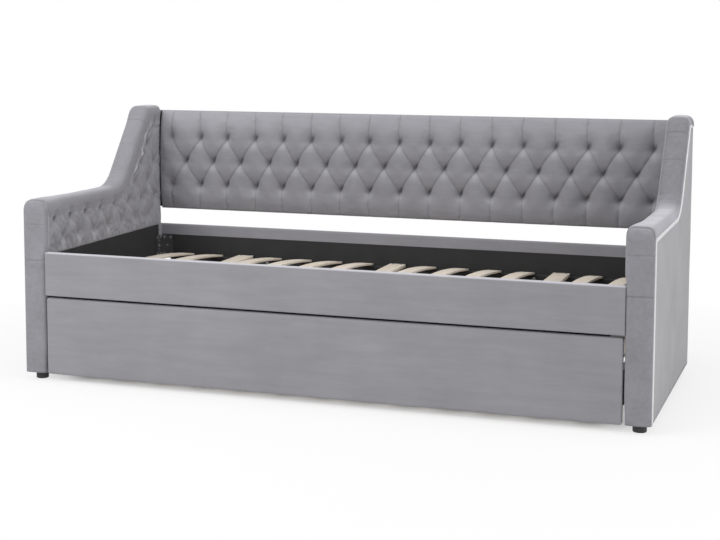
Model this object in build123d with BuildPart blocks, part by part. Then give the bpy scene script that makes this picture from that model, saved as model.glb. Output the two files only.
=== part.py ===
"""Upholstered daybed with a pull-out trundle on castors, in millimetres.

+X runs along the bed, -Y is its front and +Z is up.
The origin is on the floor, under the middle of the bed's box.
"""

import os
from math import radians, tan

from build123d import *

os.makedirs("parts", exist_ok=True)

# Bed space: a 2000 x 900 mattress lies between the arms and the rails
INNER_LENGTH = 2014
FOOT_HEIGHT = 28

# Arms: a timber core, a padded band over its edge, a tufted pad inside
ARM_THICKNESS = 80
ARM_DEPTH = 950
ARM_LOW = 598
ARM_HIGH = 889
ARM_TOP_RUN = 98
ARM_SLOPE_ANGLE = 51.5
ARM_SWEEP_RADIUS = 185
ARM_SHOULDER_RADIUS = 26
ARM_NOSE_RADIUS = 12
ARM_PAD = 23
OUTER_COVER = 4
PIPING_RADIUS = 3
BAND_RISE = 36
BAND_FRONT = 24
BAND_ROUND = 22
BAND_NOSE_RADIUS = 30
LINING = 2
END_BOARD_TOP = 441

# Diamond tufting of the back, and closer on the arms
TUFT_RISE = 94
TUFT_DEPTH = 16
TUFT_MOUTH_RADIUS = 27
TUFT_SEAT_RADIUS = 12
CREASE_WIDTH = 16
CREASE_DEPTH = 7
CUT_OVERSHOOT = 2
BUTTON_RADIUS = 11
BUTTON_HEIGHT = 6
BUTTON_ROUND = 4
ARM_TUFT_PITCH = 115
ARM_TUFT_RISE = 70
ARM_TUFT_FIRST = 92
ARM_TUFT_MARGIN = 12
ARM_TUFT_LOW_ROW = 492

# Back panel, bolted behind the arms
BACK_BOTTOM = 512
BACK_TOP_RISE = 14
BACK_TUFT_COLUMNS = 17
BACK_TUFT_END = 51
BACK_PAD = 28
BACK_PAD_PROUD = 10
BACK_PAD_GAP = 4
BACK_PAD_ROUND = 10
BACK_OVERLAP = 50
BACK_FRAME = 28
BACK_FRAME_MEMBER = 60
BACK_FRAME_STILES = 4
BACK_COVER = 4

# Rails between and behind the arms
RAIL_BOTTOM = 305
FRONT_RAIL_TOP = 457
FRONT_RAIL_THICKNESS = 28
FRONT_RAIL_GAP = 4
BACK_RAIL_TOP = 443
BACK_RAIL_THICKNESS = 26
BACK_RAIL_RETURN = 41
RAIL_LINING = 1.5
RAIL_COVER = 4
RAIL_ROUND = 5

# Ledgers and slats
LEDGER_TOP = 322
LEDGER_SIZE = 30
LEDGER_BOLT_END = 70
LEDGER_BOLT_STEP = 352
SLAT_COUNT = 15
SLAT_EDGE_GAP = 43.5
SLAT_END_GAP = 9
SLAT_WIDTH = 53
SLAT_THICKNESS = 8
SLAT_ARCH = 32
FLAT_SLAT_COUNT = 3
FLAT_SLAT_WIDTH = 62
FLAT_SLAT_THICKNESS = 12

# Steel corner brackets and fasteners
BRACKET_LEG = 52
BRACKET_SHEET = 3
BRACKET_BOTTOM = 312
BRACKET_HEIGHT = 88
BRACKET_SCREW_EDGE = 11
BOLT_RADIUS = 4
BOLT_HEAD_RADIUS = 8
BOLT_HEAD_HEIGHT = 5
BOLT_GRIP = 40
BOLT_HOLE_CLEARANCE = 0.3
BOLT_SINK_CLEARANCE = 1
BOLT_INSET = 36
BACK_BOLT_EDGE = 70
SCREW_RADIUS = 2
SCREW_HEAD_RADIUS = 4.5
SCREW_HEAD_HEIGHT = 2.4
SCREW_LENGTH = 16
SCREW_HOLE_CLEARANCE = 0.3
SLAT_SCREW_SPACING = 30
SLAT_SCREW_END = 15

# Feet under the arms
FOOT_RADIUS = 22
FOOT_SETBACK = 50
FOOT_ROUND = 4
STUD_RADIUS = 4
STUD_LENGTH = 24

# Trundle
TRUNDLE_GAP = 9
TRUNDLE_TOP_GAP = 8
TRUNDLE_FLOOR_GAP = 27
TRUNDLE_STOP_GAP = 0.3
TRUNDLE_COVER = 4
TRUNDLE_SIDE_INSET = 22
TRUNDLE_BOARD = 16
TRUNDLE_BED_WIDTH = 905
TRUNDLE_SIDE_BOTTOM = 62
TRUNDLE_SIDE_HEIGHT = 113
TRUNDLE_SLAT_COUNT = 13
TRUNDLE_SLAT_EDGE_GAP = 66.5
TRUNDLE_SLAT_WIDTH = 65
TRUNDLE_SLAT_THICKNESS = 12
TRUNDLE_SLAT_GAP = 2

# Castors: a wheel on a fixed axle, in a folded steel fork
CASTOR_SETBACK = 150
CASTOR_PLATE_LENGTH = 60
CASTOR_BLOCK = 30
CASTOR_SHEET = 2.5
CASTOR_CHEEK_LENGTH = 30
CASTOR_CHEEK_DROP = 9
WHEEL_RADIUS = 25
WHEEL_WIDTH = 20
WHEEL_ROUND = 3
WHEEL_HUB_RADIUS = 9
WHEEL_RIM = 7
WHEEL_DISH = 5
WHEEL_SIDE_GAP = 1.5
AXLE_RADIUS = 4
AXLE_CLEARANCE = 0.1
AXLE_HEAD_RADIUS = 6
AXLE_HEAD_HEIGHT = 2

# Planes and edges that several pieces share
INNER_X = INNER_LENGTH / 2
OUTER_X = INNER_X + ARM_THICKNESS
CORE_X = INNER_X + ARM_PAD
BACK_DEPTH = BACK_PAD - BACK_PAD_PROUD + BACK_FRAME + BACK_COVER
FRONT = -(ARM_DEPTH + BACK_DEPTH) / 2
ARM_REAR = FRONT + ARM_DEPTH
CORE_FRONT = FRONT + BAND_FRONT
BACK_REAR = ARM_REAR + BACK_DEPTH
BACK_FACE_Y = ARM_REAR - BACK_PAD_PROUD
BACK_FRAME_Y = BACK_FACE_Y + BACK_PAD
BACK_X = INNER_X + BACK_OVERLAP
FRONT_RAIL_REAR = FRONT + FRONT_RAIL_THICKNESS
RAIL_LINING_Y = ARM_REAR - RAIL_LINING
LEDGER_X = INNER_X - BRACKET_LEG - BRACKET_SHEET
BOLT_X = INNER_X + BOLT_INSET
SLOPE_RUN = (ARM_HIGH - ARM_LOW) / tan(radians(ARM_SLOPE_ANGLE))
SLOPE_TOP_Y = ARM_REAR - ARM_TOP_RUN
SLOPE_FOOT_Y = SLOPE_TOP_Y - SLOPE_RUN
BACK_TOP = ARM_HIGH + BACK_TOP_RISE
BACK_MIDDLE = (BACK_BOTTOM + BACK_TOP) / 2
FOOT_X = INNER_X + ARM_THICKNESS / 2
FOOT_YS = (FRONT + FOOT_SETBACK, ARM_REAR - FOOT_SETBACK)
BACK_FACE = Plane(origin=(0, BACK_FACE_Y, 0), x_dir=(1, 0, 0), z_dir=(0, -1, 0))
ARM_FACE = Plane(origin=(INNER_X, 0, 0), x_dir=(0, -1, 0), z_dir=(-1, 0, 0))


def save(part, name):
    """Labels a finished piece and writes its STEP file."""
    part.label = name
    export_step(part, f"parts/{name}.step")


def save_pair(part, name):
    """Writes a right-hand piece and its mirror image on the left."""
    save(part, f"right_{name}")
    save(mirror(part, about=Plane.YZ), f"left_{name}")


def block(low, high, mode=Mode.ADD):
    """Adds a box, from its lowest corner to its highest, to the piece being made."""
    size = Vector(high) - Vector(low)
    with Locations((Vector(high) + Vector(low)) / 2):
        Box(size.X, size.Y, size.Z, mode=mode)


def board(low, high):
    """A plain board from its lowest corner to its highest."""
    with BuildPart() as piece:
        block(low, high)
    return piece.part


def sleeve(low, high, wall, rounding):
    """An upholstered sleeve that encloses a board, with rounded outer edges."""
    inside = Vector(wall, wall, wall)
    with BuildPart() as cover:
        block(low, high)
        fillet(cover.edges(), rounding)
        block(Vector(low) + inside, Vector(high) - inside, mode=Mode.SUBTRACT)
    return cover.part


def filling(low, high, wall):
    """The board that a sleeve encloses."""
    inside = Vector(wall, wall, wall)
    return board(Vector(low) + inside, Vector(high) - inside)


def both_sides(right, name):
    """Writes a right-hand piece and its mirror image as one node."""
    with BuildPart() as pair:
        add(right)
        add(mirror(right, about=Plane.YZ, mode=Mode.PRIVATE))
    save(pair.part, name)


def arm_outline(front, rise, nose, bottom):
    """Side outline of an arm; rise is how far its top lies outside the timber."""
    shift = rise * tan(radians(ARM_SLOPE_ANGLE / 2))
    points = [
        (front, bottom),
        (front, ARM_LOW + rise),
        (SLOPE_FOOT_Y - shift, ARM_LOW + rise),
        (SLOPE_TOP_Y - shift, ARM_HIGH + rise),
        (ARM_REAR, ARM_HIGH + rise),
        (ARM_REAR, bottom),
    ]
    sweep_radius = ARM_SWEEP_RADIUS - rise
    shoulder_radius = ARM_SHOULDER_RADIUS + rise
    with BuildSketch() as outline:
        with BuildLine():
            FilletPolyline(*points, radius=[0, nose, sweep_radius, shoulder_radius, 0, 0], close=True)
        make_face()
    return outline.sketch


def crease(face, start, end):
    """A V-shaped channel between two points of a face."""
    begin = face.from_local_coords((*start, 0))
    run = face.from_local_coords((*end, 0)) - begin
    section = Plane(origin=begin, x_dir=run.cross(face.z_dir), z_dir=run)
    flare = CREASE_WIDTH / 2 * (1 + CUT_OVERSHOOT / CREASE_DEPTH)
    with BuildPart() as channel:
        with BuildSketch(section):
            Polygon((-flare, -CUT_OVERSHOOT), (flare, -CUT_OVERSHOOT), (0, CREASE_DEPTH), align=None)
        extrude(amount=run.length)
    return channel.part


def tuft_places(face, points, depth=0.0):
    """Planes at tufts, looking into the pad, a depth below its face."""
    inwards = -face.z_dir
    return [
        Plane(origin=face.from_local_coords((*p, -depth)), x_dir=face.x_dir, z_dir=inwards) for p in points
    ]


def cut_tufts(face, points):
    """Cuts the cone-shaped tufts into the pad that is being made."""
    flare = (TUFT_MOUTH_RADIUS - TUFT_SEAT_RADIUS) * CUT_OVERSHOOT / TUFT_DEPTH
    with Locations(*tuft_places(face, points, -CUT_OVERSHOOT)):
        Cone(
            bottom_radius=TUFT_MOUTH_RADIUS + flare,
            top_radius=TUFT_SEAT_RADIUS,
            height=TUFT_DEPTH + CUT_OVERSHOOT,
            align=(Align.CENTER, Align.CENTER, Align.MIN),
            mode=Mode.SUBTRACT,
        )


def make_buttons(face, points):
    """Covered buttons, each seated on the floor of its tuft."""
    with BuildPart() as button:
        Cylinder(BUTTON_RADIUS, BUTTON_HEIGHT, align=(Align.CENTER, Align.CENTER, Align.MAX))
        fillet(button.edges().group_by(Axis.Z)[0], BUTTON_ROUND)
    with BuildPart() as buttons:
        with Locations(*tuft_places(face, points, TUFT_DEPTH)):
            add(button.part)
    return buttons.part


def bolt(length):
    """A round-headed bolt: its head seat is at the origin, its shank along -Z."""
    with BuildPart() as piece:
        Cylinder(BOLT_HEAD_RADIUS, BOLT_HEAD_HEIGHT, align=(Align.CENTER, Align.CENTER, Align.MIN))
        fillet(piece.edges().group_by(Axis.Z)[-1], BOLT_HEAD_HEIGHT / 2)
        Cylinder(BOLT_RADIUS, length, align=(Align.CENTER, Align.CENTER, Align.MAX))
    return piece.part


def screw():
    """A pan-head wood screw: its head seat is at the origin, its shank along -Z."""
    with BuildPart() as piece:
        Cylinder(SCREW_HEAD_RADIUS, SCREW_HEAD_HEIGHT, align=(Align.CENTER, Align.CENTER, Align.MIN))
        fillet(piece.edges().group_by(Axis.Z)[-1], SCREW_HEAD_HEIGHT / 2)
        Cylinder(SCREW_RADIUS, SCREW_LENGTH, align=(Align.CENTER, Align.CENTER, Align.MAX))
    return piece.part


def set_of(piece, places):
    """The same piece at several places, as separate solids of one node."""
    with BuildPart() as pieces:
        with Locations(*places):
            add(piece)
    return pieces.part


def facing(x, y, z, direction):
    """A plane at a point whose normal is the way a fastener's head looks."""
    return Plane(origin=(x, y, z), z_dir=direction)


# Fastener places at the rear: two bolts in each back post, one in each rail end
RAIL_BOLT_Z = (RAIL_BOTTOM + BACK_RAIL_TOP) / 2
BACK_BOLT_ZS = (BACK_BOTTOM + BACK_BOLT_EDGE, BACK_TOP - BACK_BOLT_EDGE)
BACK_BOLT_SEAT = BACK_FRAME_Y + BACK_FRAME - BOLT_HEAD_HEIGHT
RAIL_BOLT_SEAT = ARM_REAR + BACK_RAIL_THICKNESS - RAIL_COVER - BOLT_HEAD_HEIGHT

# Arm core: the timber that carries everything, drilled for feet and rear bolts
CORE_OUTLINE = arm_outline(CORE_FRONT, 0, ARM_NOSE_RADIUS, FOOT_HEIGHT)
with BuildPart() as arm_core:
    with BuildSketch(Plane.YZ.offset(CORE_X)):
        add(CORE_OUTLINE)
    extrude(amount=OUTER_X - OUTER_COVER - CORE_X)
    with Locations(*[facing(FOOT_X, y, FOOT_HEIGHT, (0, 0, -1)) for y in FOOT_YS]):
        Hole(STUD_RADIUS + BOLT_HOLE_CLEARANCE, depth=STUD_LENGTH + CUT_OVERSHOOT)
    with Locations(*[facing(BOLT_X, ARM_REAR, z, (0, 1, 0)) for z in (*BACK_BOLT_ZS, RAIL_BOLT_Z)]):
        Hole(BOLT_RADIUS + BOLT_HOLE_CLEARANCE, depth=BOLT_GRIP + CUT_OVERSHOOT)
save_pair(arm_core.part, "arm_core")

# Piping sewn into the seam between the band and the outer cover
with BuildPart() as piping:
    with BuildLine(Plane.YZ.offset(OUTER_X)) as seam:
        FilletPolyline(
            (CORE_FRONT, FOOT_HEIGHT),
            (CORE_FRONT, ARM_LOW),
            (SLOPE_FOOT_Y, ARM_LOW),
            (SLOPE_TOP_Y, ARM_HIGH),
            (ARM_REAR, ARM_HIGH),
            radius=[ARM_NOSE_RADIUS, ARM_SWEEP_RADIUS, ARM_SHOULDER_RADIUS],
        )
    with BuildSketch(Plane(origin=seam.line @ 0, z_dir=seam.line % 0)):
        Circle(PIPING_RADIUS)
    sweep()
both_sides(piping.part, "arm_piping")


def is_rim(edge):
    """True for a band edge that isn't on the arm's bottom or its rear."""
    place = edge.center()
    return place.Z > FOOT_HEIGHT + CUT_OVERSHOOT and place.Y < ARM_REAR - CUT_OVERSHOOT


# Padded band over the front and top edge of the arm
BAND_OUTLINE = arm_outline(FRONT, BAND_RISE, BAND_NOSE_RADIUS, FOOT_HEIGHT)
with BuildPart() as arm_band:
    with BuildSketch(Plane.YZ.offset(INNER_X)):
        add(BAND_OUTLINE)
    extrude(amount=ARM_THICKNESS)
    sides = arm_band.faces().filter_by(Axis.X)
    rims = sides.edges().filter_by(is_rim)
    fillet(rims, BAND_ROUND)
    with BuildSketch(Plane.YZ.offset(INNER_X)):
        add(CORE_OUTLINE)
    extrude(amount=ARM_THICKNESS, mode=Mode.SUBTRACT)
    add(piping.part, mode=Mode.SUBTRACT)
save_pair(arm_band.part, "arm_band")

# Outer cover of the arm, one taut panel
with BuildPart() as arm_cover:
    with BuildSketch(Plane.YZ.offset(OUTER_X - OUTER_COVER)):
        add(CORE_OUTLINE)
    extrude(amount=OUTER_COVER)
    add(piping.part, mode=Mode.SUBTRACT)
save_pair(arm_cover.part, "arm_outer_cover")


def arm_top(y):
    """Height of the timber's top edge at a distance from the front."""
    rise = max(0.0, y - SLOPE_FOOT_Y) * tan(radians(ARM_SLOPE_ANGLE))
    return min(ARM_LOW + rise, ARM_HIGH)


def arm_tufts():
    """Tufts of the arm's inner face, (-Y, Z), on a diamond grid inside its outline."""
    places = []
    rows = int((ARM_HIGH - ARM_TUFT_LOW_ROW) // ARM_TUFT_RISE) + 1
    columns = int(ARM_DEPTH // ARM_TUFT_PITCH) + 1
    for row in range(rows):
        z = ARM_TUFT_LOW_ROW + row * ARM_TUFT_RISE
        shift = ARM_TUFT_PITCH / 2 if row % 2 == 0 else 0
        for column in range(columns):
            y = FRONT + ARM_TUFT_FIRST + shift + column * ARM_TUFT_PITCH
            near_slope = arm_top(y - ARM_TUFT_MARGIN)
            if y < ARM_REAR - TUFT_MOUTH_RADIUS and z < near_slope - ARM_TUFT_MARGIN:
                places.append((-y, z))
    return places


def diamonds(points, pitch, rise):
    """Pairs of tufts that are neighbours along a diamond's side."""
    pairs = []
    for low in points:
        for high in points:
            across = abs(high[0] - low[0])
            up = high[1] - low[1]
            if abs(up - rise) < CUT_OVERSHOOT and abs(across - pitch / 2) < CUT_OVERSHOOT:
                pairs.append((low, high))
    return pairs


# Tufted pad on the inner face of the arm
ARM_TUFTS = arm_tufts()
ARM_LOW_TUFTS = [p for p in ARM_TUFTS if p[1] == ARM_TUFT_LOW_ROW]
arm_creases = [crease(ARM_FACE, a, b) for a, b in diamonds(ARM_TUFTS, ARM_TUFT_PITCH, ARM_TUFT_RISE)]
arm_creases += [crease(ARM_FACE, p, (p[0], END_BOARD_TOP - CUT_OVERSHOOT)) for p in ARM_LOW_TUFTS]
ARM_PAD_OUTLINE = arm_outline(CORE_FRONT, 0, ARM_NOSE_RADIUS, END_BOARD_TOP)
with BuildPart() as arm_pad:
    with BuildSketch(Plane.YZ.offset(INNER_X)):
        add(ARM_PAD_OUTLINE)
    extrude(amount=ARM_PAD)
    add(arm_creases, mode=Mode.SUBTRACT)
    cut_tufts(ARM_FACE, ARM_TUFTS)
save_pair(arm_pad.part, "arm_pad")

both_sides(make_buttons(ARM_FACE, ARM_TUFTS), "arm_buttons")

# End board inside each arm under the pad, with its black lining
end_board = board(
    (INNER_X + LINING, CORE_FRONT, FOOT_HEIGHT),
    (CORE_X, ARM_REAR, END_BOARD_TOP),
)
save_pair(end_board, "end_board")
end_lining = board(
    (INNER_X, CORE_FRONT, FOOT_HEIGHT),
    (INNER_X + LINING, ARM_REAR, END_BOARD_TOP),
)
both_sides(end_lining, "end_linings")

# Feet: moulded discs with a stud that screws into the core
with BuildPart() as foot:
    Cylinder(FOOT_RADIUS, FOOT_HEIGHT, align=(Align.CENTER, Align.CENTER, Align.MIN))
    fillet(foot.edges().group_by(Axis.Z)[0], FOOT_ROUND)
    with Locations((0, 0, FOOT_HEIGHT)):
        Cylinder(STUD_RADIUS, STUD_LENGTH, align=(Align.CENTER, Align.CENTER, Align.MIN))
save(set_of(foot.part, [(side * FOOT_X, y, 0) for side in (-1, 1) for y in FOOT_YS]), "feet")

# Back frame: rails, stiles and end posts that reach forward to the arms
FRAME_X = BACK_X - BACK_COVER
FRAME_BOTTOM = BACK_BOTTOM + BACK_COVER
FRAME_TOP = BACK_TOP - BACK_COVER
STILE_STEP = 2 * INNER_X / (BACK_FRAME_STILES + 1)
with BuildPart() as back_frame:
    with BuildSketch(Plane.XZ.offset(-BACK_FRAME_Y)):
        with Locations((0, (FRAME_BOTTOM + FRAME_TOP) / 2)):
            Rectangle(2 * FRAME_X, FRAME_TOP - FRAME_BOTTOM)
            Rectangle(
                2 * (FRAME_X - BACK_FRAME_MEMBER),
                FRAME_TOP - FRAME_BOTTOM - 2 * BACK_FRAME_MEMBER,
                mode=Mode.SUBTRACT,
            )
            with GridLocations(STILE_STEP, 0, BACK_FRAME_STILES, 1):
                Rectangle(BACK_FRAME_MEMBER, FRAME_TOP - FRAME_BOTTOM)
    extrude(amount=-BACK_FRAME)
    for side in (-1, 1):
        inner, outer = sorted((side * INNER_X, side * FRAME_X))
        block((inner, ARM_REAR, FRAME_BOTTOM), (outer, BACK_FRAME_Y, FRAME_TOP))
        with Locations(
            *[facing(side * BOLT_X, BACK_FRAME_Y + BACK_FRAME, z, (0, 1, 0)) for z in BACK_BOLT_ZS]
        ):
            CounterBoreHole(
                BOLT_RADIUS + BOLT_HOLE_CLEARANCE,
                BOLT_HEAD_RADIUS + BOLT_SINK_CLEARANCE,
                BOLT_HEAD_HEIGHT,
            )
save(back_frame.part, "back_frame")

# Back cover: a tray of cloth over the frame's rear and edges, open at the bolts
with BuildPart() as back_cover:
    block((-BACK_X, BACK_FRAME_Y, BACK_BOTTOM), (BACK_X, BACK_REAR, BACK_TOP))
    block(
        (-FRAME_X, BACK_FRAME_Y, FRAME_BOTTOM),
        (FRAME_X, BACK_REAR - BACK_COVER, FRAME_TOP),
        mode=Mode.SUBTRACT,
    )
    with Locations(*[facing(s * BOLT_X, BACK_REAR, z, (0, 1, 0)) for s in (-1, 1) for z in BACK_BOLT_ZS]):
        Hole(BOLT_HEAD_RADIUS + BOLT_SINK_CLEARANCE, depth=BACK_COVER + CUT_OVERSHOOT)
save(back_cover.part, "back_cover")

# Tufted back pad, with pleats from the outer rows to its edges
BACK_PAD_X = INNER_X - BACK_PAD_GAP
TUFT_PITCH = 2 * (BACK_PAD_X - BACK_TUFT_END) / (BACK_TUFT_COLUMNS - 1)


def back_tufts():
    """Three rows of tufts on the back: full, staggered, full."""
    places = []
    for row in (-1, 0, 1):
        count = BACK_TUFT_COLUMNS - (1 if row == 0 else 0)
        for column in range(count):
            places.append(((column - (count - 1) / 2) * TUFT_PITCH, BACK_MIDDLE + row * TUFT_RISE))
    return places


BACK_TUFTS = back_tufts()
back_creases = [crease(BACK_FACE, a, b) for a, b in diamonds(BACK_TUFTS, TUFT_PITCH, TUFT_RISE)]
for x, z in BACK_TUFTS:
    if z > BACK_MIDDLE:
        back_creases.append(crease(BACK_FACE, (x, z), (x, BACK_TOP + CUT_OVERSHOOT)))
    elif z < BACK_MIDDLE:
        back_creases.append(crease(BACK_FACE, (x, z), (x, BACK_BOTTOM - CUT_OVERSHOOT)))
with BuildPart() as back_pad:
    block((-BACK_PAD_X, BACK_FACE_Y, BACK_BOTTOM), (BACK_PAD_X, BACK_FRAME_Y, BACK_TOP))
    fillet(back_pad.faces().sort_by(Axis.Y)[0].edges(), BACK_PAD_ROUND)
    add(back_creases, mode=Mode.SUBTRACT)
    cut_tufts(BACK_FACE, BACK_TUFTS)
save(back_pad.part, "back_pad")
save(make_buttons(BACK_FACE, BACK_TUFTS), "back_buttons")

# Front rail: a board in an upholstered sleeve, between the arms
FRONT_RAIL_LOW = (-INNER_X + FRONT_RAIL_GAP, FRONT, RAIL_BOTTOM)
FRONT_RAIL_HIGH = (INNER_X - FRONT_RAIL_GAP, FRONT_RAIL_REAR, FRONT_RAIL_TOP)
save(sleeve(FRONT_RAIL_LOW, FRONT_RAIL_HIGH, RAIL_COVER, RAIL_ROUND), "front_rail_cover")
save(filling(FRONT_RAIL_LOW, FRONT_RAIL_HIGH, RAIL_COVER), "front_rail_board")

# Back rail: the same, bolted behind the arms, with a lining below the cloth's return
BACK_RAIL_LOW = (-BACK_X, ARM_REAR, RAIL_BOTTOM)
BACK_RAIL_HIGH = (BACK_X, ARM_REAR + BACK_RAIL_THICKNESS, BACK_RAIL_TOP)
RAIL_BOLT_PLACES = [(side * BOLT_X, RAIL_BOLT_Z) for side in (-1, 1)]
back_rail_sleeve = sleeve(BACK_RAIL_LOW, BACK_RAIL_HIGH, RAIL_COVER, RAIL_ROUND)
with BuildPart() as back_rail_cover:
    add(back_rail_sleeve)
    with Locations(*[facing(x, ARM_REAR + RAIL_COVER, z, (0, 1, 0)) for x, z in RAIL_BOLT_PLACES]):
        Hole(BOLT_RADIUS + BOLT_HOLE_CLEARANCE, depth=RAIL_COVER + CUT_OVERSHOOT)
    with Locations(*[facing(x, BACK_RAIL_HIGH[1], z, (0, 1, 0)) for x, z in RAIL_BOLT_PLACES]):
        Hole(BOLT_HEAD_RADIUS + BOLT_SINK_CLEARANCE, depth=RAIL_COVER + CUT_OVERSHOOT)
save(back_rail_cover.part, "back_rail_cover")
back_rail_filling = filling(BACK_RAIL_LOW, BACK_RAIL_HIGH, RAIL_COVER)
with BuildPart() as back_rail_board:
    add(back_rail_filling)
    with Locations(*[facing(x, BACK_RAIL_HIGH[1] - RAIL_COVER, z, (0, 1, 0)) for x, z in RAIL_BOLT_PLACES]):
        CounterBoreHole(
            BOLT_RADIUS + BOLT_HOLE_CLEARANCE,
            BOLT_HEAD_RADIUS + BOLT_SINK_CLEARANCE,
            BOLT_HEAD_HEIGHT,
        )
save(back_rail_board.part, "back_rail_board")
back_rail_lining = board(
    (-INNER_X, RAIL_LINING_Y, RAIL_BOTTOM),
    (INNER_X, ARM_REAR, BACK_RAIL_TOP - BACK_RAIL_RETURN),
)
save(back_rail_lining, "back_rail_lining")

# Bolts from the rear, through the posts and the rail's ends into the arm cores
panel_bolt = bolt(BACK_BOLT_SEAT - ARM_REAR + BOLT_GRIP)
rail_bolt = bolt(RAIL_BOLT_SEAT - ARM_REAR + BOLT_GRIP)
with BuildPart() as back_bolts:
    with Locations(*[facing(s * BOLT_X, BACK_BOLT_SEAT, z, (0, 1, 0)) for s in (-1, 1) for z in BACK_BOLT_ZS]):
        add(panel_bolt)
    with Locations(*[facing(x, RAIL_BOLT_SEAT, z, (0, 1, 0)) for x, z in RAIL_BOLT_PLACES]):
        add(rail_bolt)
save(back_bolts.part, "back_bolts")

# Ledgers along the rails, which carry the slats
LEDGER_BOTTOM = LEDGER_TOP - LEDGER_SIZE
BACK_LEDGER_FACE = RAIL_LINING_Y - LEDGER_SIZE
FRONT_LEDGER_FACE = FRONT_RAIL_REAR + LEDGER_SIZE
LEDGER_MIDDLE = LEDGER_TOP - LEDGER_SIZE / 2
LEDGER_BOLT_OUTER = LEDGER_X - LEDGER_BOLT_END
LEDGER_BOLT_INNER = LEDGER_BOLT_OUTER - LEDGER_BOLT_STEP
LEDGER_BOLT_X = (-LEDGER_BOLT_OUTER, -LEDGER_BOLT_INNER, LEDGER_BOLT_INNER, LEDGER_BOLT_OUTER)
FRONT_LEDGER_BOLTS = [facing(x, FRONT_LEDGER_FACE, LEDGER_MIDDLE, (0, 1, 0)) for x in LEDGER_BOLT_X]
BACK_LEDGER_BOLTS = [facing(x, BACK_LEDGER_FACE, LEDGER_MIDDLE, (0, -1, 0)) for x in LEDGER_BOLT_X]
with BuildPart() as front_ledger:
    block((-LEDGER_X, FRONT_RAIL_REAR, LEDGER_BOTTOM), (LEDGER_X, FRONT_LEDGER_FACE, LEDGER_TOP))
    with Locations(*FRONT_LEDGER_BOLTS):
        Hole(BOLT_RADIUS + BOLT_HOLE_CLEARANCE, depth=LEDGER_SIZE)
save(front_ledger.part, "front_ledger")
with BuildPart() as back_ledger:
    block((-LEDGER_X, BACK_LEDGER_FACE, LEDGER_BOTTOM), (LEDGER_X, RAIL_LINING_Y, LEDGER_TOP))
    with Locations(*BACK_LEDGER_BOLTS):
        Hole(BOLT_RADIUS + BOLT_HOLE_CLEARANCE, depth=LEDGER_SIZE)
save(back_ledger.part, "back_ledger")
LEDGER_BOLT_LENGTH = LEDGER_SIZE + RAIL_LINING + RAIL_COVER + SCREW_LENGTH / 2
save(set_of(bolt(LEDGER_BOLT_LENGTH), FRONT_LEDGER_BOLTS + BACK_LEDGER_BOLTS), "ledger_bolts")

# Slats: sprung ones bent upwards, and flat ones screwed down as ties
SLAT_FRONT = FRONT_RAIL_REAR + SLAT_END_GAP
SLAT_REAR = RAIL_LINING_Y - SLAT_END_GAP
SLAT_MIDDLE = (SLAT_FRONT + SLAT_REAR) / 2
SLAT_PITCH = (2 * (LEDGER_X - SLAT_EDGE_GAP) - SLAT_WIDTH) / (SLAT_COUNT - 1)
FLAT_SLATS = [round((k + 0.5) * SLAT_COUNT / FLAT_SLAT_COUNT + 0.5) for k in range(FLAT_SLAT_COUNT)]
slat_screws = []
for number in range(1, SLAT_COUNT + 1):
    x = (number - (SLAT_COUNT + 1) / 2) * SLAT_PITCH
    if number in FLAT_SLATS:
        half = FLAT_SLAT_WIDTH / 2
        top = LEDGER_TOP + FLAT_SLAT_THICKNESS
        ends = (SLAT_FRONT + SLAT_SCREW_END, SLAT_REAR - SLAT_SCREW_END)
        spots = [
            facing(x + side * SLAT_SCREW_SPACING / 2, y, top, (0, 0, 1)) for side in (-1, 1) for y in ends
        ]
        with BuildPart() as slat:
            block((x - half, SLAT_FRONT, LEDGER_TOP), (x + half, SLAT_REAR, top))
            with Locations(*spots):
                Hole(SCREW_RADIUS + SCREW_HOLE_CLEARANCE, depth=FLAT_SLAT_THICKNESS)
        slat_screws += spots
        save(slat.part, f"flat_slat_{number:02d}")
    else:
        with BuildPart() as slat:
            with BuildSketch(Plane.YZ.offset(x - SLAT_WIDTH / 2)):
                with BuildLine():
                    low = ThreePointArc(
                        (SLAT_FRONT, LEDGER_TOP), (SLAT_MIDDLE, LEDGER_TOP + SLAT_ARCH), (SLAT_REAR, LEDGER_TOP)
                    )
                    high = ThreePointArc(
                        (SLAT_FRONT, LEDGER_TOP + SLAT_THICKNESS),
                        (SLAT_MIDDLE, LEDGER_TOP + SLAT_ARCH + SLAT_THICKNESS),
                        (SLAT_REAR, LEDGER_TOP + SLAT_THICKNESS),
                    )
                    Line(low @ 0, high @ 0)
                    Line(low @ 1, high @ 1)
                make_face()
            extrude(amount=SLAT_WIDTH)
        save(slat.part, f"sprung_slat_{number:02d}")
save(set_of(screw(), slat_screws), "slat_screws")

# Steel angle brackets in the four corners, with five screws in each leg
LEG_SCREWS = [
    (BRACKET_SCREW_EDGE + BRACKET_SHEET, BRACKET_SCREW_EDGE),
    (BRACKET_LEG - BRACKET_SCREW_EDGE, BRACKET_SCREW_EDGE),
    (BRACKET_SCREW_EDGE + BRACKET_SHEET, BRACKET_HEIGHT - BRACKET_SCREW_EDGE),
    (BRACKET_LEG - BRACKET_SCREW_EDGE, BRACKET_HEIGHT - BRACKET_SCREW_EDGE),
    ((BRACKET_LEG + BRACKET_SHEET) / 2, BRACKET_HEIGHT / 2),
]


def bracket_spots(side, wall, inwards):
    """Screw places of one bracket, in its arm leg and its rail leg."""
    arm_leg = [
        facing(side * (INNER_X - BRACKET_SHEET), wall + inwards * u, BRACKET_BOTTOM + v, (-side, 0, 0))
        for u, v in LEG_SCREWS
    ]
    rail_leg = [
        facing(side * (INNER_X - u), wall + inwards * BRACKET_SHEET, BRACKET_BOTTOM + v, (0, inwards, 0))
        for u, v in LEG_SCREWS
    ]
    return arm_leg + rail_leg


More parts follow.
